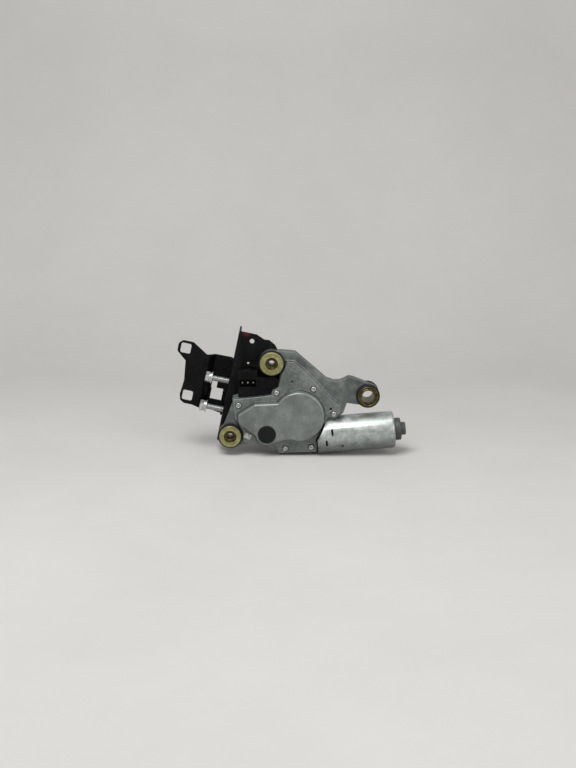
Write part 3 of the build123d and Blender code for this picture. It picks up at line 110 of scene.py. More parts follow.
def weathered(name, tones, roughness, metallic=0.0, patch=0.012, grain=0.0008, depth=0.0,
              spots=None, worn=0.12, shine=0.5):
    """A surface whose colour drifts in patches between a few tones, over a fine raised grain."""
    surface = bpy.data.materials.new(name)
    surface.use_nodes = True
    tree = surface.node_tree
    shader = tree.nodes["Principled BSDF"]
    shader.inputs["Metallic"].default_value = metallic
    shader.inputs["Specular IOR Level"].default_value = shine
    drift = noise(tree, patch, detail=6, roughness=0.7)
    ramp = tree.nodes.new("ShaderNodeValToRGB")
    first_stop, last_stop = 0.32, 0.68
    stops = ramp.color_ramp.elements
    stops[0].position, stops[0].color = first_stop, (*tones[0], 1)
    stops[1].position, stops[1].color = last_stop, (*tones[-1], 1)
    for step, tone in enumerate(tones[1:-1], start=1):
        stop = stops.new(first_stop + (last_stop - first_stop) * step / (len(tones) - 1))
        stop.color = (*tone, 1)
    tree.links.new(drift, ramp.inputs["Fac"])
    colour = ramp.outputs["Color"]
    if spots:
        size, level, tone = spots
        specks = stretched(tree, noise(tree, size, detail=2), level, level + 0.06)
        colour = laid_over(tree, colour, tone, specks)
    tree.links.new(colour, shader.inputs["Base Color"])
    glossiest, dullest = max(0.05, roughness - worn), min(1.0, roughness + worn)
    gloss = stretched(tree, drift, 0.3, 0.7, glossiest, dullest)
    tree.links.new(gloss, shader.inputs["Roughness"])
    if depth:
        relief = tree.nodes.new("ShaderNodeBump")
        relief.inputs["Distance"].default_value = depth
        relief.inputs["Strength"].default_value = 0.6
        tree.links.new(noise(tree, grain, detail=3), relief.inputs["Height"])
        tree.links.new(relief.outputs["Normal"], shader.inputs["Normal"])
    return surface


def marks_and_painted_light(surface, tone, amount, heights=None, places=(), radius=0.003, fade=0.0015):
    """Lays a tone in a band of heights towards the cover or round some places: real marks such as
    primer, and painted shade and painted highlight.
    """
    tree = surface.node_tree
    base = tree.nodes["Principled BSDF"].inputs["Base Color"]
    colour = base.links[0].from_socket
    place = tree.nodes.new("ShaderNodeTexCoord")
    marked_spans = []
    if heights:
        split = tree.nodes.new("ShaderNodeSeparateXYZ")
        tree.links.new(place.outputs["Object"], split.inputs["Vector"])
        offset = tree.nodes.new("ShaderNodeMath")
        offset.operation = "SUBTRACT"
        offset.inputs[1].default_value = -(heights[0] + heights[1]) / 2
        tree.links.new(split.outputs["Y"], offset.inputs[0])
        away = tree.nodes.new("ShaderNodeMath")
        away.operation = "ABSOLUTE"
        tree.links.new(offset.outputs["Value"], away.inputs[0])
        marked_spans.append((away.outputs["Value"], (heights[1] - heights[0]) / 2))
    for x, z in places:
        flat = tree.nodes.new("ShaderNodeVectorMath")
        flat.operation = "MULTIPLY"
        flat.inputs[1].default_value = (1, 0, 1)
        tree.links.new(place.outputs["Object"], flat.inputs[0])
        away = tree.nodes.new("ShaderNodeVectorMath")
        away.operation = "DISTANCE"
        away.inputs[1].default_value = (x, 0, z)
        tree.links.new(flat.outputs["Vector"], away.inputs[0])
        marked_spans.append((away.outputs["Value"], radius))
    patches = noise(tree, 0.0025, detail=3)
    for distance, limit in marked_spans:
        ragged = tree.nodes.new("ShaderNodeMath")
        ragged.operation = "MULTIPLY_ADD"
        ragged.inputs[1].default_value = fade
        tree.links.new(patches, ragged.inputs[0])
        tree.links.new(distance, ragged.inputs[2])
        mask = stretched(
            tree, ragged.outputs["Value"], limit + fade, limit, to_high=amount, smooth=True)
        colour = laid_over(tree, colour, tone, mask)
    tree.links.new(colour, base)


def dress(piece, surface):
    """Gives a piece or a CAD node its surface, in every slot it has, or in a new slot if it has
    none.
    """
    if piece.material_slots:
        for held in piece.material_slots:
            held.material = surface
    else:
        piece.data.materials.append(surface)


def bench_copy(node, join_flats=False):
    """A copy of a CAD piece with its doubles merged, ready for its finish."""
    bpy.ops.object.select_all(action="DESELECT")
    source = frame["nodes"][node]
    source.select_set(True)
    bpy.context.view_layer.objects.active = source
    bpy.ops.object.duplicate()
    piece = bpy.context.view_layer.objects.active
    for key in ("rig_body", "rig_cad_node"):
        del piece[key]
    piece.parent = None
    piece.name = piece.data.name = node + "_finished"
    bpy.ops.object.mode_set(mode="EDIT")
    bpy.ops.mesh.select_all(action="SELECT")
    bpy.ops.mesh.remove_doubles(threshold=2e-6)
    if join_flats:
        bpy.ops.mesh.dissolve_limited(angle_limit=math.radians(0.6))
    bpy.ops.object.mode_set(mode="OBJECT")
    return piece


def stand_in(piece, node, surface):
    """Dresses a finished copy and lets it stand for its CAD piece, on the same body."""
    body = frame["nodes"][node]["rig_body"]
    dress(piece, surface)
    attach(piece, body)
    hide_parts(node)


def soft_edged_copy(node, grid, kept, surface):
    """Copies a CAD casting or pressing with its edges and corners softened, as the tool does."""
    piece = bench_copy(node)
    skin = piece.modifiers.new("Skin", "REMESH")
    skin.mode = "VOXEL"
    skin.voxel_size = grid
    bpy.ops.object.modifier_apply(modifier=skin.name)
    soften = piece.modifiers.new("Softened edges", "SMOOTH")
    soften.factor = 0.5
    soften.iterations = 3
    bpy.ops.object.modifier_apply(modifier=soften.name)
    lighten = piece.modifiers.new("Fewer faces", "DECIMATE")
    lighten.ratio = kept
    bpy.ops.object.modifier_apply(modifier=lighten.name)
    bpy.ops.object.shade_smooth_by_angle(angle=math.radians(50))
    stand_in(piece, node, surface)


cast_metal = weathered(
    "die cast aluminium", [(0.06, 0.068, 0.064), (0.12, 0.133, 0.127), (0.22, 0.24, 0.23)],
    roughness=0.5, metallic=0.5, patch=0.02, grain=0.0007, depth=0.00012,
    spots=(0.003, 0.66, (0.07, 0.078, 0.074)))
# Painted shade: a dark band on the casting's rim round the cover's edge
marks_and_painted_light(cast_metal, (0.016, 0.019, 0.017), 0.8, heights=(0.0441, 0.0455), fade=0.0004)
# Painted shade: a dark line along the casting's edge where it meets the can
marks_and_painted_light(cast_metal, (0.006, 0.007, 0.0065), 0.92, radius=0.0045, fade=0.003,
       places=[(0.050, -0.013), (0.054, -0.008), (0.0585, -0.0025), (0.062, 0.002),
               (0.066, 0.0065)])
soft_edged_copy("gear_housing", 0.00042, 0.3, cast_metal)

# Gear cover and its gasket: a pressed aluminium lid, smoother and a little paler than the
# casting, with a raised, sloping-sided dome over the wheel and the sector. A thin black gasket
# shows as a line round its edge.

cover_metal = weathered(
    "pressed aluminium", [(0.115, 0.13, 0.123), (0.168, 0.19, 0.18), (0.245, 0.27, 0.258)],
    roughness=0.4, metallic=0.5, patch=0.026, grain=0.0012, depth=0.00005,
    spots=(0.0022, 0.68, (0.34, 0.37, 0.36)))
# Painted shade round the foot of the cover's dome
marks_and_painted_light(cover_metal, (0.02, 0.024, 0.022), 0.85, heights=(0.0471, 0.049), fade=0.0005)
# Painted highlight: a paler band along the dome's rounded top edge
marks_and_painted_light(cover_metal, (0.42, 0.45, 0.435), 0.3, heights=(0.0531, 0.0538), fade=0.0004)
mm = 0.001
screw_places = [(9.7, 41.2), (46.7, 45.1), (67.4, 19.4), (44.8, -15.2), (18.3, -16.8),
                (-28.6, 28.3)]
# Darker rings round the screw seats
marks_and_painted_light(cover_metal, (0.03, 0.034, 0.031), 0.8, radius=0.0031, fade=0.0009,
       places=[(x * mm, z * mm) for x, z in screw_places])
soft_edged_copy("gear_cover", 0.0004, 0.5, cover_metal)
gasket_rubber = weathered(
    "gasket rubber", [(0.012, 0.012, 0.012), (0.03, 0.03, 0.03)], roughness=0.8, patch=0.004,
    grain=0.0006, depth=0.00003)
dress(frame["nodes"]["cover_gasket"], gasket_rubber)

# Cover plug: a moulded plastic button pressed into the cover over the end of the output shaft.
# It is a dark green-black, dull with dust.

plug_plastic = weathered(
    "dusty black plastic", [(0.004, 0.0055, 0.005), (0.009, 0.0115, 0.0105)], roughness=0.6,
    patch=0.006, grain=0.0005, depth=0.00003, spots=(0.0012, 0.68, (0.02, 0.024, 0.022)),
    shine=0.15)
dress(frame["nodes"]["cover_plug"], plug_plastic)

# Cover screws and clip: zinc-plated steel screws with domed heads and a star recess, which pull
# the cover down on its gasket, and a small square spring clip near the lower mount.

screw_steel = weathered(
    "zinc plated screw steel", [(0.22, 0.23, 0.22), (0.45, 0.46, 0.44), (0.62, 0.63, 0.60)],
    roughness=0.35, metallic=0.85, patch=0.003, grain=0.0004, depth=0.00003)


def turned(name, rings, sides=72, capped=True):
    """A turned piece on its own Z axis. Each ring is a radius and a height in millimetres."""
    bpy.ops.object.select_all(action="DESELECT")
    bpy.ops.mesh.primitive_circle_add(
        vertices=sides, radius=rings[0][0] * mm, location=(0, 0, rings[0][1] * mm),
        fill_type="NGON" if capped else "NOTHING")
    piece = bpy.context.object
    piece.name = piece.data.name = name
    bpy.ops.object.mode_set(mode="EDIT")
    for (last_radius, last_height), (radius, height) in zip(rings, rings[1:]):
        bpy.ops.mesh.extrude_edges_move(
            TRANSFORM_OT_translate={"value": (0, 0, (height - last_height) * mm)})
        grow = radius / last_radius
        bpy.ops.transform.resize(value=(grow, grow, 1), center_override=(0, 0, 0))
    if capped:
        bpy.ops.mesh.edge_face_add()
    bpy.ops.mesh.select_all(action="SELECT")
    bpy.ops.mesh.remove_doubles(threshold=1e-6)
    bpy.ops.mesh.normals_make_consistent(inside=False)
    bpy.ops.object.mode_set(mode="OBJECT")
    bpy.ops.object.transform_apply(location=True, rotation=True, scale=True)
    bpy.ops.object.shade_smooth_by_angle(angle=math.radians(35))
    return piece


def put_in_place(piece, centre, out):
    """Stands a piece made on its own Z axis at a centre, with that axis pointing out."""
    bpy.ops.object.select_all(action="DESELECT")
    piece.select_set(True)
    bpy.context.view_layer.objects.active = piece
    turn = out.to_track_quat("Z", "Y").to_matrix().to_4x4()
    piece.matrix_world = Matrix.Translation(centre) @ turn
    bpy.ops.object.transform_apply(location=True, rotation=True, scale=True)


def eased_copy(node, ease, surface, segments=2, sharp=28, clamped=False):
    """Copies a CAD piece and eases its sharp edges."""
    piece = bench_copy(node, join_flats=True)
    edges = piece.modifiers.new("Eased edges", "BEVEL")
    edges.limit_method = "ANGLE"
    edges.angle_limit = math.radians(sharp)
    edges.width = ease
    edges.segments = segments
    edges.use_clamp_overlap = clamped
    edges.miter_outer = "MITER_ARC"
    bpy.ops.object.modifier_apply(modifier=edges.name)
    bpy.ops.object.shade_smooth_by_angle(angle=math.radians(40))
    stand_in(piece, node, surface)


forward = Vector((0, -1, 0))
screw_seat_height = 46.2
screw_head_rings = [
    (2.0, -12.0), (2.0, 0.0), (2.7, 0.0), (2.7, 1.3), (2.55, 1.7), (2.2, 2.0), (1.75, 2.15),
    (1.45, 2.15), (1.4, 2.05), (1.35, 1.0)]
screw_pattern = turned("cover_screw_1", screw_head_rings, sides=36)
bpy.ops.object.mode_set(mode="EDIT")
bpy.ops.mesh.select_all(action="DESELECT")
bpy.ops.object.mode_set(mode="OBJECT")
# The recess's wall is drawn in over half of each sixth of a turn, which leaves a star
star_step = 60
star_draw = 0.72
recess_radius = 1.42
recess_floor = 0.9
for corner in screw_pattern.data.vertices:
    turn = math.degrees(math.atan2(corner.co.y, corner.co.x)) % star_step
    in_recess = corner.co.xy.length < recess_radius * mm and corner.co.z > recess_floor * mm
    corner.select = in_recess and star_step / 4 < turn < star_step * 3 / 4
bpy.ops.object.mode_set(mode="EDIT")
bpy.ops.transform.resize(value=(star_draw, star_draw, 1), center_override=(0, 0, 0))
bpy.ops.object.mode_set(mode="OBJECT")
dress(screw_pattern, screw_steel)
screws = [screw_pattern]
for count in range(2, len(screw_places) + 1):
    twin = screw_pattern.copy()
    twin.data = screw_pattern.data.copy()
    twin.name = twin.data.name = f"cover_screw_{count}"
    bpy.context.collection.objects.link(twin)
    screws.append(twin)
for screw, (x, z) in zip(screws, screw_places):
    put_in_place(screw, Vector((x, -screw_seat_height, z)) * mm, forward)
    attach(screw, "housing")
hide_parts("cover_screws")
eased_copy("cover_clip", 0.0002, screw_steel)

# Output shaft, its pinion, bushes, washers, clips and seal: the shaft is ground and tapered steel
# with a threaded end, and it turns in two sintered bronze bushes pressed into the boss.

shaft_steel = weathered(
    "ground steel", [(0.36, 0.36, 0.37), (0.5, 0.5, 0.51), (0.6, 0.6, 0.61)],
    roughness=0.28, metallic=1.0, patch=0.006, grain=0.0003, depth=0.00001)
for node in ("output_shaft", "shaft_circlip", "link_clip", "thrust_washer"):
    dress(frame["nodes"][node], shaft_steel)


def rolled_thread(name, root, crest, pitch, turns):
    """A thread on its own Z axis: one tooth's outline, swept round and up. Sizes in millimetres."""
    bpy.ops.object.select_all(action="DESELECT")
    bpy.ops.mesh.primitive_plane_add(size=pitch * mm)
    thread = bpy.context.object
    thread.name = thread.data.name = name
    bpy.ops.object.mode_set(mode="EDIT")
    bpy.ops.mesh.delete(type="ONLY_FACE")
    bpy.ops.object.mode_set(mode="OBJECT")
    low_root, crest_line, doubled_root, high_root = thread.data.vertices
    low_root.co = doubled_root.co = (root * mm, 0, 0)
    crest_line.co = (crest * mm, 0, pitch * mm / 2)
    high_root.co = (root * mm, 0, pitch * mm)
    bpy.ops.object.mode_set(mode="EDIT")
    bpy.ops.mesh.select_all(action="SELECT")
    bpy.ops.mesh.remove_doubles(threshold=1e-7)
    bpy.ops.object.mode_set(mode="OBJECT")
    sweep = thread.modifiers.new("Thread", "SCREW")
    sweep.axis = "Z"
    sweep.screw_offset = pitch * mm
    sweep.iterations = turns
    sweep.steps = sweep.render_steps = 20
    sweep.use_merge_vertices = True
    bpy.ops.object.modifier_apply(modifier=sweep.name)
    bpy.ops.object.shade_smooth_by_angle(angle=math.radians(40))
    return thread


# The wiper arm's nut screws on the end, and its hub bites on the fine serration of the taper
stud_thread = rolled_thread("output_shaft_thread", root=3.95, crest=4.4, pitch=1.25, turns=7)
serration_sides = 96
serration_root = 0.955
serration = turned("output_shaft_serration", [
    (4.8, -7.3), (5.2, -7.5), (4.25, -13.6), (3.9, -13.9)], sides=serration_sides)
for corner in serration.data.vertices:
    turn = math.atan2(corner.co.y, corner.co.x) % math.tau
    if round(turn / math.tau * serration_sides) % 2:
        corner.co.xy *= serration_root
serration.data.shade_flat()
for piece, start in ((stud_thread, -24.2), (serration, 0.0)):
    dress(piece, shaft_steel)
    put_in_place(piece, start * mm * forward, forward)
    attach(piece, "output")
gear_steel = weathered(
    "machined gear steel", [(0.24, 0.24, 0.25), (0.4, 0.4, 0.41)],
    roughness=0.38, metallic=1.0, patch=0.005, grain=0.0004, depth=0.00002)
for node in ("output_pinion", "rocker_link", "sector_rod"):
    dress(frame["nodes"][node], gear_steel)
for node in ("sector_pin", "crank_pin", "wheel_axle", "wheel_clip", "thrust_button"):
    dress(frame["nodes"][node], shaft_steel)
bush_bronze = weathered(
    "sintered bronze", [(0.34, 0.22, 0.1), (0.55, 0.38, 0.19)],
    roughness=0.45, metallic=1.0, patch=0.002, grain=0.0003, depth=0.00003)
for node in ("output_bushes", "end_bearing", "middle_bearing", "can_bearing"):
    dress(frame["nodes"][node], bush_bronze)
seal_rubber = weathered(
    "seal rubber", [(0.01, 0.01, 0.011), (0.028, 0.028, 0.03)], roughness=0.6, patch=0.004,
    grain=0.0005, depth=0.00002)
dress(frame["nodes"]["shaft_seal"], seal_rubber)

# Worm wheel with its park disc and the switch that reads it: a helical wheel moulded in natural
# acetal, a copper track on its back, and three sprung contacts on a plastic plate.

acetal = weathered(
    "natural acetal", [(0.66, 0.63, 0.54), (0.8, 0.78, 0.7)], roughness=0.4, patch=0.008,
    grain=0.0009, depth=0.00002)
dress(frame["nodes"]["worm_wheel"], acetal)
copper = weathered(
    "copper strip", [(0.5, 0.22, 0.1), (0.72, 0.38, 0.22)], roughness=0.35, metallic=1.0,
    patch=0.003, grain=0.0003, depth=0.00002)
for node in ("park_disc", "contact_springs", "commutator"):
    dress(frame["nodes"][node], copper)
switch_plastic = weathered(
    "black moulded plastic",
    [(0.0015, 0.0015, 0.0018), (0.003, 0.003, 0.0032), (0.007, 0.007, 0.007)],
    roughness=0.45, patch=0.01, grain=0.0004, depth=0.00003, shine=0.1)
dress(frame["nodes"]["contact_plate"], switch_plastic)

# Armature: a steel shaft with the worm rolled into its end, a stack of slotted laminations, coils
# of varnished copper wire and the commutator.

dress(frame["nodes"]["armature_shaft"], shaft_steel)
lamination = weathered(
    "stacked laminations", [(0.12, 0.12, 0.13), (0.26, 0.26, 0.27)], roughness=0.5,
    metallic=0.9, patch=0.003, grain=0.0005, depth=0.00005)
dress(frame["nodes"]["armature_core"], lamination)
winding = weathered(
    "varnished copper wire", [(0.3, 0.1, 0.04), (0.55, 0.24, 0.1)], roughness=0.3,
    metallic=0.8, patch=0.002, grain=0.0005, depth=0.00015)
dress(frame["nodes"]["armature_windings"], winding)

# Brush gear and magnets: two carbon blocks on springs in a black moulded holder, which also closes
# the can. Ferrite magnets line the can's wall.

carbon = weathered(
    "pressed carbon", [(0.015, 0.015, 0.016), (0.05, 0.05, 0.052)], roughness=0.6,
    patch=0.002, grain=0.0003, depth=0.00003)
dress(frame["nodes"]["carbon_brushes"], carbon)
dress(frame["nodes"]["brush_springs"], screw_steel)
eased_copy(
    "brush_holder", 0.0003, switch_plastic, clamped=True)
ferrite = weathered(
    "ferrite", [(0.04, 0.04, 0.043), (0.1, 0.1, 0.105)], roughness=0.6, patch=0.004,
    grain=0.0006, depth=0.00005)
dress(frame["nodes"]["field_magnets"], ferrite)

# Motor can: deep-drawn steel, zinc plated and mottled with spangle and dull stains, with painted
# shade on its lower side and at its joint with the casting. Its bearing is covered by a dark
# moulded cap.

can_zinc = weathered(
    "mottled zinc plating", [(0.24, 0.265, 0.255), (0.38, 0.41, 0.395), (0.52, 0.55, 0.535)],
    roughness=0.42, metallic=0.6, patch=0.009, grain=0.0009, depth=0.00004,
    spots=(0.0018, 0.68, (0.16, 0.18, 0.17)))
# Painted shade: the can's lower side is darkened in ragged blotches below its axis
tree = can_zinc.node_tree
base = tree.nodes["Principled BSDF"].inputs["Base Color"]
motor_tilt = math.radians(4.7)
motor_mesh = Vector((0.0344, -0.036, -0.0069))
above_axis = Vector((-math.sin(motor_tilt), 0, math.cos(motor_tilt)))
axis_rise = motor_mesh.dot(above_axis)
place = tree.nodes.new("ShaderNodeTexCoord")
rise = tree.nodes.new("ShaderNodeVectorMath")
rise.operation = "DOT_PRODUCT"
rise.inputs[1].default_value = above_axis
tree.links.new(place.outputs["Object"], rise.inputs[0])
ragged = tree.nodes.new("ShaderNodeMath")
ragged.operation = "MULTIPLY_ADD"
ragged.inputs[1].default_value = 0.014
tree.links.new(noise(tree, 0.0016, detail=4, roughness=0.75), ragged.inputs[0])
tree.links.new(rise.outputs["Value"], ragged.inputs[2])
painted_shade_tone = (0.07, 0.08, 0.075)
painted_shade_mask = stretched(
    tree, ragged.outputs["Value"], axis_rise + 0.008, axis_rise - 0.004, to_high=0.62, smooth=True)
tree.links.new(laid_over(tree, base.links[0].from_socket, painted_shade_tone, painted_shade_mask), base)
# Painted shade at the can's joint with the casting, thickest at its lower corner
marks_and_painted_light(can_zinc, (0.006, 0.007, 0.0065), 0.75, radius=0.0012, fade=0.0055,
       places=[(0.0515, -0.0045), (0.0515, -0.0095), (0.051, -0.0145), (0.051, -0.019)])
eased_copy("motor_can", 0.0003, can_zinc, clamped=True)
cap_plastic = weathered(
    "grey moulded cap", [(0.028, 0.031, 0.03), (0.06, 0.066, 0.064)], roughness=0.5, patch=0.006,
    grain=0.0006, depth=0.00004)
eased_copy("bearing_cap", 0.0006, cap_plastic, segments=3)

# Rubber mounts: grooved black rubbers snapped into the ears and the arm's eye, each with a hollow
# steel sleeve. The two discs and the arm's ring are yellow passivated.

mount_rubber = weathered(
    "mount rubber", [(0.005, 0.005, 0.0055), (0.013, 0.013, 0.0135)], roughness=0.7,
    patch=0.005, grain=0.0006, depth=0.00005, shine=0.25)
mounts = {"upper": ((4.9, 71.5), 13.0, 11.7), "lower": ((-37.3, -3.6), 12.5, 11.0)}
rubber_back, rubber_front = 32.0, 48.0
ear_back, ear_front = 37.0, 43.0
rubber_bore = 6.65
groove_radius = 9.45
for name, ((x, z), rubber_radius, _) in mounts.items():
    rubber = turned(name + "_mount_rubber", [
        (rubber_bore, rubber_back), (rubber_radius - 1.2, rubber_back),
        (rubber_radius - 0.3, rubber_back + 0.4), (rubber_radius, rubber_back + 1.2),
        (rubber_radius, ear_back - 1.4), (rubber_radius - 0.4, ear_back - 0.4),
        (rubber_radius - 1.4, ear_back), (groove_radius + 0.05, ear_back + 0.05),
        (groove_radius, ear_back + 1.5), (groove_radius, ear_front - 1.5),
        (groove_radius + 0.05, ear_front - 0.05), (rubber_radius - 1.4, ear_front),
        (rubber_radius - 0.4, ear_front + 0.4), (rubber_radius, ear_front + 1.4),
        (rubber_radius, rubber_front - 1.4), (rubber_radius - 0.3, rubber_front - 0.4),
        (rubber_radius - 1.2, rubber_front), (rubber_bore, rubber_front),
        (rubber_bore, rubber_back)], capped=False)
    dress(rubber, mount_rubber)
    put_in_place(rubber, Vector((x, 0, z)) * mm, forward)
    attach(rubber, "housing")
    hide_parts(name + "_rubber")
eased_copy("arm_rubber", 0.0008, mount_rubber, segments=3)
yellow_zinc = weathered(
    "yellow passivated zinc", [(0.13, 0.125, 0.04), (0.23, 0.225, 0.09), (0.32, 0.315, 0.15)],
    roughness=0.42, metallic=0.35, patch=0.004, grain=0.0005, depth=0.00003,
    spots=(0.0012, 0.66, (0.2, 0.14, 0.05)))
brass_zinc = weathered(
    "worn yellow zinc", [(0.025, 0.019, 0.006), (0.07, 0.058, 0.018), (0.15, 0.13, 0.05)],
    roughness=0.33, metallic=0.6, patch=0.004, grain=0.0005, depth=0.00003)
for name, ((x, z), _, disc_radius) in mounts.items():
    disc = turned(name + "_mount_disc", [
        (6.25, 48.05), (disc_radius - 0.5, 48.05), (disc_radius - 0.1, 48.3),
        (disc_radius, 48.8), (disc_radius - 0.1, 49.5), (disc_radius - 0.5, 49.9),
        (disc_radius - 1.1, 49.95), (disc_radius - 2.2, 49.6), (7.4, 49.55), (6.7, 49.9),
        (6.4, 49.8), (6.25, 49.5), (6.25, 48.05)], capped=False)
    dress(disc, yellow_zinc)
    tube = turned(name + "_mount_tube", [
        (3.0, 32.0), (6.4, 32.0), (6.6, 32.2), (6.6, 48.0), (6.2, 48.05), (6.2, 49.2),
        (5.9, 49.3), (5.6, 48.9), (5.3, 47.6), (5.2, 47.2), (4.7, 46.9), (4.4, 46.9),
        (4.1, 47.3), (3.7, 47.3), (3.3, 46.9), (3.0, 46.4), (3.0, 32.0)], capped=False)
    dress(tube, brass_zinc)
    for piece in (disc, tube):
        put_in_place(piece, Vector((x, 0, z)) * mm, forward)
        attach(piece, "housing")
    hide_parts(name + "_sleeve")
arm_sleeve = turned("arm_mount_sleeve", [
    (6.0, 25.0), (8.2, 25.0), (8.7, 25.5), (8.7, 48.5), (9.9, 48.55), (10.3, 49.0), (10.2, 49.6),
    (9.8, 49.95), (9.3, 49.9), (8.9, 49.3), (8.4, 49.1), (8.0, 49.4), (7.5, 49.9), (6.9, 49.9),
    (6.3, 49.6), (6.05, 49.1), (6.0, 48.4), (6.0, 25.0)], capped=False)
dress(arm_sleeve, brass_zinc)
put_in_place(arm_sleeve, Vector((101.5, 0, 38.0)) * mm, forward)
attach(arm_sleeve, "housing")
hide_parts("arm_sleeve")

# Brackets: folded steel sheet, coated black, with rounded lugs and square holes. Rivets join the
# two, and nuts are welded behind the flange.

black_coat = weathered(
    "black coated steel",
    [(0.0015, 0.002, 0.0018), (0.003, 0.0036, 0.0033), (0.007, 0.008, 0.0075)],
    roughness=0.5, patch=0.012, grain=0.0005, depth=0.00003,
    spots=(0.0025, 0.7, (0.03, 0.032, 0.03)), shine=0.1)
# Overspray of red primer at the face's upper corner
marks_and_painted_light(black_coat, (0.10, 0.012, 0.014), 0.6, radius=0.0022, fade=0.004,
       places=[(-0.0225, 0.1003), (-0.0195, 0.0985)])
eased_copy("main_bracket", 0.00012, black_coat, sharp=50)
eased_copy("side_bracket", 0.00012, black_coat, sharp=50)
eased_copy("bracket_rivets", 0.0003, black_coat)
eased_copy("weld_nuts", 0.0003, black_coat)

bracket_sheet_back = 30.2
bracket_sheet_front = 31.8
for name, corners in (
    ("bracket_face_web", [(-41.0, 13.0), (-36.0, 12.0), (-34.9, 20.0), (-34.9, 35.5),
                          (-27.0, 37.5), (-27.0, 52.0), (-34.0, 53.0), (-38.5, 40.0)]),
    ("bracket_face_tongue", [(3.0, 53.2), (9.0, 52.4), (13.4, 52.4), (14.2, 58.0), (13.6, 62.0),
                             (3.0, 63.0)]),
):
    # A web of the face's own sheet, reaching to the casting, drawn flat and given its thickness
    bpy.ops.object.select_all(action="DESELECT")
    bpy.ops.mesh.primitive_circle_add(vertices=len(corners), radius=0.01, fill_type="NGON")
    web = bpy.context.object
    web.name = web.data.name = name
    for corner, (x, z) in zip(web.data.vertices, corners):
        corner.co = Vector((x, -bracket_sheet_back, z)) * mm
    bpy.ops.object.mode_set(mode="EDIT")
    bpy.ops.mesh.select_all(action="SELECT")
    bpy.ops.mesh.extrude_region_move(TRANSFORM_OT_translate={
        "value": tuple((bracket_sheet_front - bracket_sheet_back) * mm * forward)})
    bpy.ops.mesh.select_all(action="SELECT")
    bpy.ops.mesh.bevel(offset=0.3 * mm, segments=2, clamp_overlap=True)
    bpy.ops.mesh.normals_make_consistent(inside=False)
    bpy.ops.object.mode_set(mode="OBJECT")
    bpy.ops.object.shade_smooth_by_angle(angle=math.radians(35))
    dress(web, black_coat)
    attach(web, "housing")

# Bracket bolts: two bright zinc-plated hexagon bolts with spring and flat washers. Most of each
# shank stands clear of the bracket's flange.

bright_zinc = weathered(
    "bright zinc plating", [(0.50, 0.51, 0.51), (0.62, 0.63, 0.63)], roughness=0.3, metallic=0.85,
    patch=0.006, grain=0.0006, depth=0.00001, worn=0.06)
bracket_tilt = math.radians(12.2)
flange_lean = math.radians(1.0)
along_fold = Vector((math.sin(bracket_tilt), 0, math.cos(bracket_tilt)))
across_fold = Vector((math.cos(bracket_tilt), 0, -math.sin(bracket_tilt)))
back = -math.sin(flange_lean) * across_fold - math.cos(flange_lean) * forward
out = -math.cos(flange_lean) * across_fold + math.sin(flange_lean) * forward
fold_corner = Vector((-37.3, -32.0, -3.6)) - 12.6 * across_fold + 8.5 * back
bolt_rises = (50.2, 19.8)
bolt_standoff = 20.5
shank_length = 27.9
thread_length = 27.5
thread_pitch = 1.0
thread_turns = 25
for count, rise in enumerate(bolt_rises, start=1):
    foot = fold_corner + rise * along_fold
    # Hexagon head, chamfered at its corners, with a plain core down the middle of the thread
    head = turned(f"bracket_bolt_{count}", [
        (2.52, bolt_standoff - shank_length), (2.52, bolt_standoff), (5.3, bolt_standoff),
        (5.7, bolt_standoff + 0.5), (5.7, bolt_standoff + 3.2), (5.0, bolt_standoff + 3.95),
        (3.4, bolt_standoff + 4.0), (3.1, bolt_standoff + 3.6)], sides=6)
    bpy.ops.object.shade_flat()
    dress(head, bright_zinc)
    put_in_place(head, foot * mm, out)
    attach(head, "housing")
    thread = rolled_thread(
        f"bracket_bolt_thread_{count}", root=2.5, crest=3.0, pitch=thread_pitch, turns=thread_turns)
    dress(thread, bright_zinc)
    put_in_place(thread, (foot + (bolt_standoff - thread_length) * out) * mm, out)
    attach(thread, "housing")
    if count == 1:
        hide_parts("bracket_bolts")
eased_copy("spring_washers", 0.0002, bright_zinc)
eased_copy("flat_washers", 0.0002, bright_zinc)

# Connector: a black moulded housing on the bracket's shelf, with a socket that holds three
# terminals and a lid over the suppressor.

eased_copy("connector_housing", 0.0003, switch_plastic)
eased_copy("connector_lid", 0.0003, switch_plastic)
dress(frame["nodes"]["connector_terminals"], screw_steel)

# Floor, light and camera: a plain pale floor that sweeps up into a wall behind, a broad lamp
# overhead and in front, and a weaker one from the right.

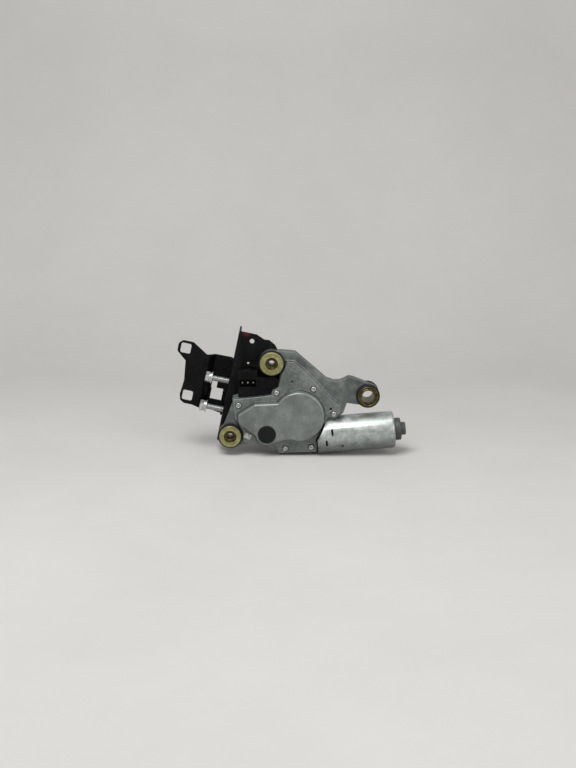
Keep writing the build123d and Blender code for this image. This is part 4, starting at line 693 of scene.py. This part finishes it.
bpy.ops.object.select_all(action="DESELECT")
floor_size = 6.0
wall_behind = 0.75
wall_height = 3.0
bpy.ops.mesh.primitive_plane_add(
    size=floor_size, location=(0, wall_behind - floor_size / 2, cad_low.z))
floor = bpy.context.object
floor.name = "floor"
bpy.ops.object.transform_apply(location=True, rotation=True, scale=True)
bpy.ops.object.mode_set(mode="EDIT")
bpy.ops.mesh.select_all(action="DESELECT")
bpy.ops.object.mode_set(mode="OBJECT")
for corner in floor.data.vertices:
    corner.select = corner.co.y > wall_behind / 2
for edge in floor.data.edges:
    edge.select = all(floor.data.vertices[end].select for end in edge.vertices)
bpy.ops.object.mode_set(mode="EDIT")
bpy.ops.mesh.select_mode(type="EDGE")
bpy.ops.mesh.extrude_edges_move(TRANSFORM_OT_translate={"value": (0, 0, wall_height)})
bpy.ops.object.mode_set(mode="OBJECT")
sweep = floor.modifiers.new("Sweep", "BEVEL")
sweep.width = 0.45
sweep.segments = 24
bpy.ops.object.modifier_apply(modifier=sweep.name)
bpy.ops.object.shade_smooth()
floor_paint = weathered(
    "pale floor", [(0.49, 0.483, 0.468), (0.53, 0.522, 0.508)], roughness=0.75, patch=0.3,
    worn=0.05)
dress(floor, floor_paint)

world = bpy.data.worlds.new("studio")
bpy.context.scene.world = world
world.use_nodes = True
sky = world.node_tree.nodes["Background"]
sky.inputs["Color"].default_value = (0.66, 0.65, 0.64, 1)
sky.inputs["Strength"].default_value = 0.7

middle = (cad_low + cad_high) / 2
for name, place, size, energy in (
    ("key", (-0.25, -0.55, 1.1), 0.7, 14),
    ("fill", (0.9, -0.8, 0.5), 0.8, 5),
):
    bpy.ops.object.light_add(type="AREA", location=middle + Vector(place))
    lamp = bpy.context.object
    lamp.name = name
    lamp.data.size = size
    lamp.data.energy = energy
    lamp.rotation_euler = (-Vector(place)).to_track_quat("-Z", "Y").to_euler()

camera_lift = math.radians(13)
aim = Vector((0.0212, -0.047, 0.0506))
reach = 1.065
bpy.ops.object.camera_add()
camera = bpy.context.object
camera.data.lens = 49.9
camera.location = aim + reach * Vector((0, -math.cos(camera_lift), math.sin(camera_lift)))
camera.rotation_euler = (aim - camera.location).to_track_quat("-Z", "Y").to_euler()
camera.data.clip_start = 0.01
bpy.context.scene.camera = camera
bpy.context.scene.view_settings.view_transform = "Standard"
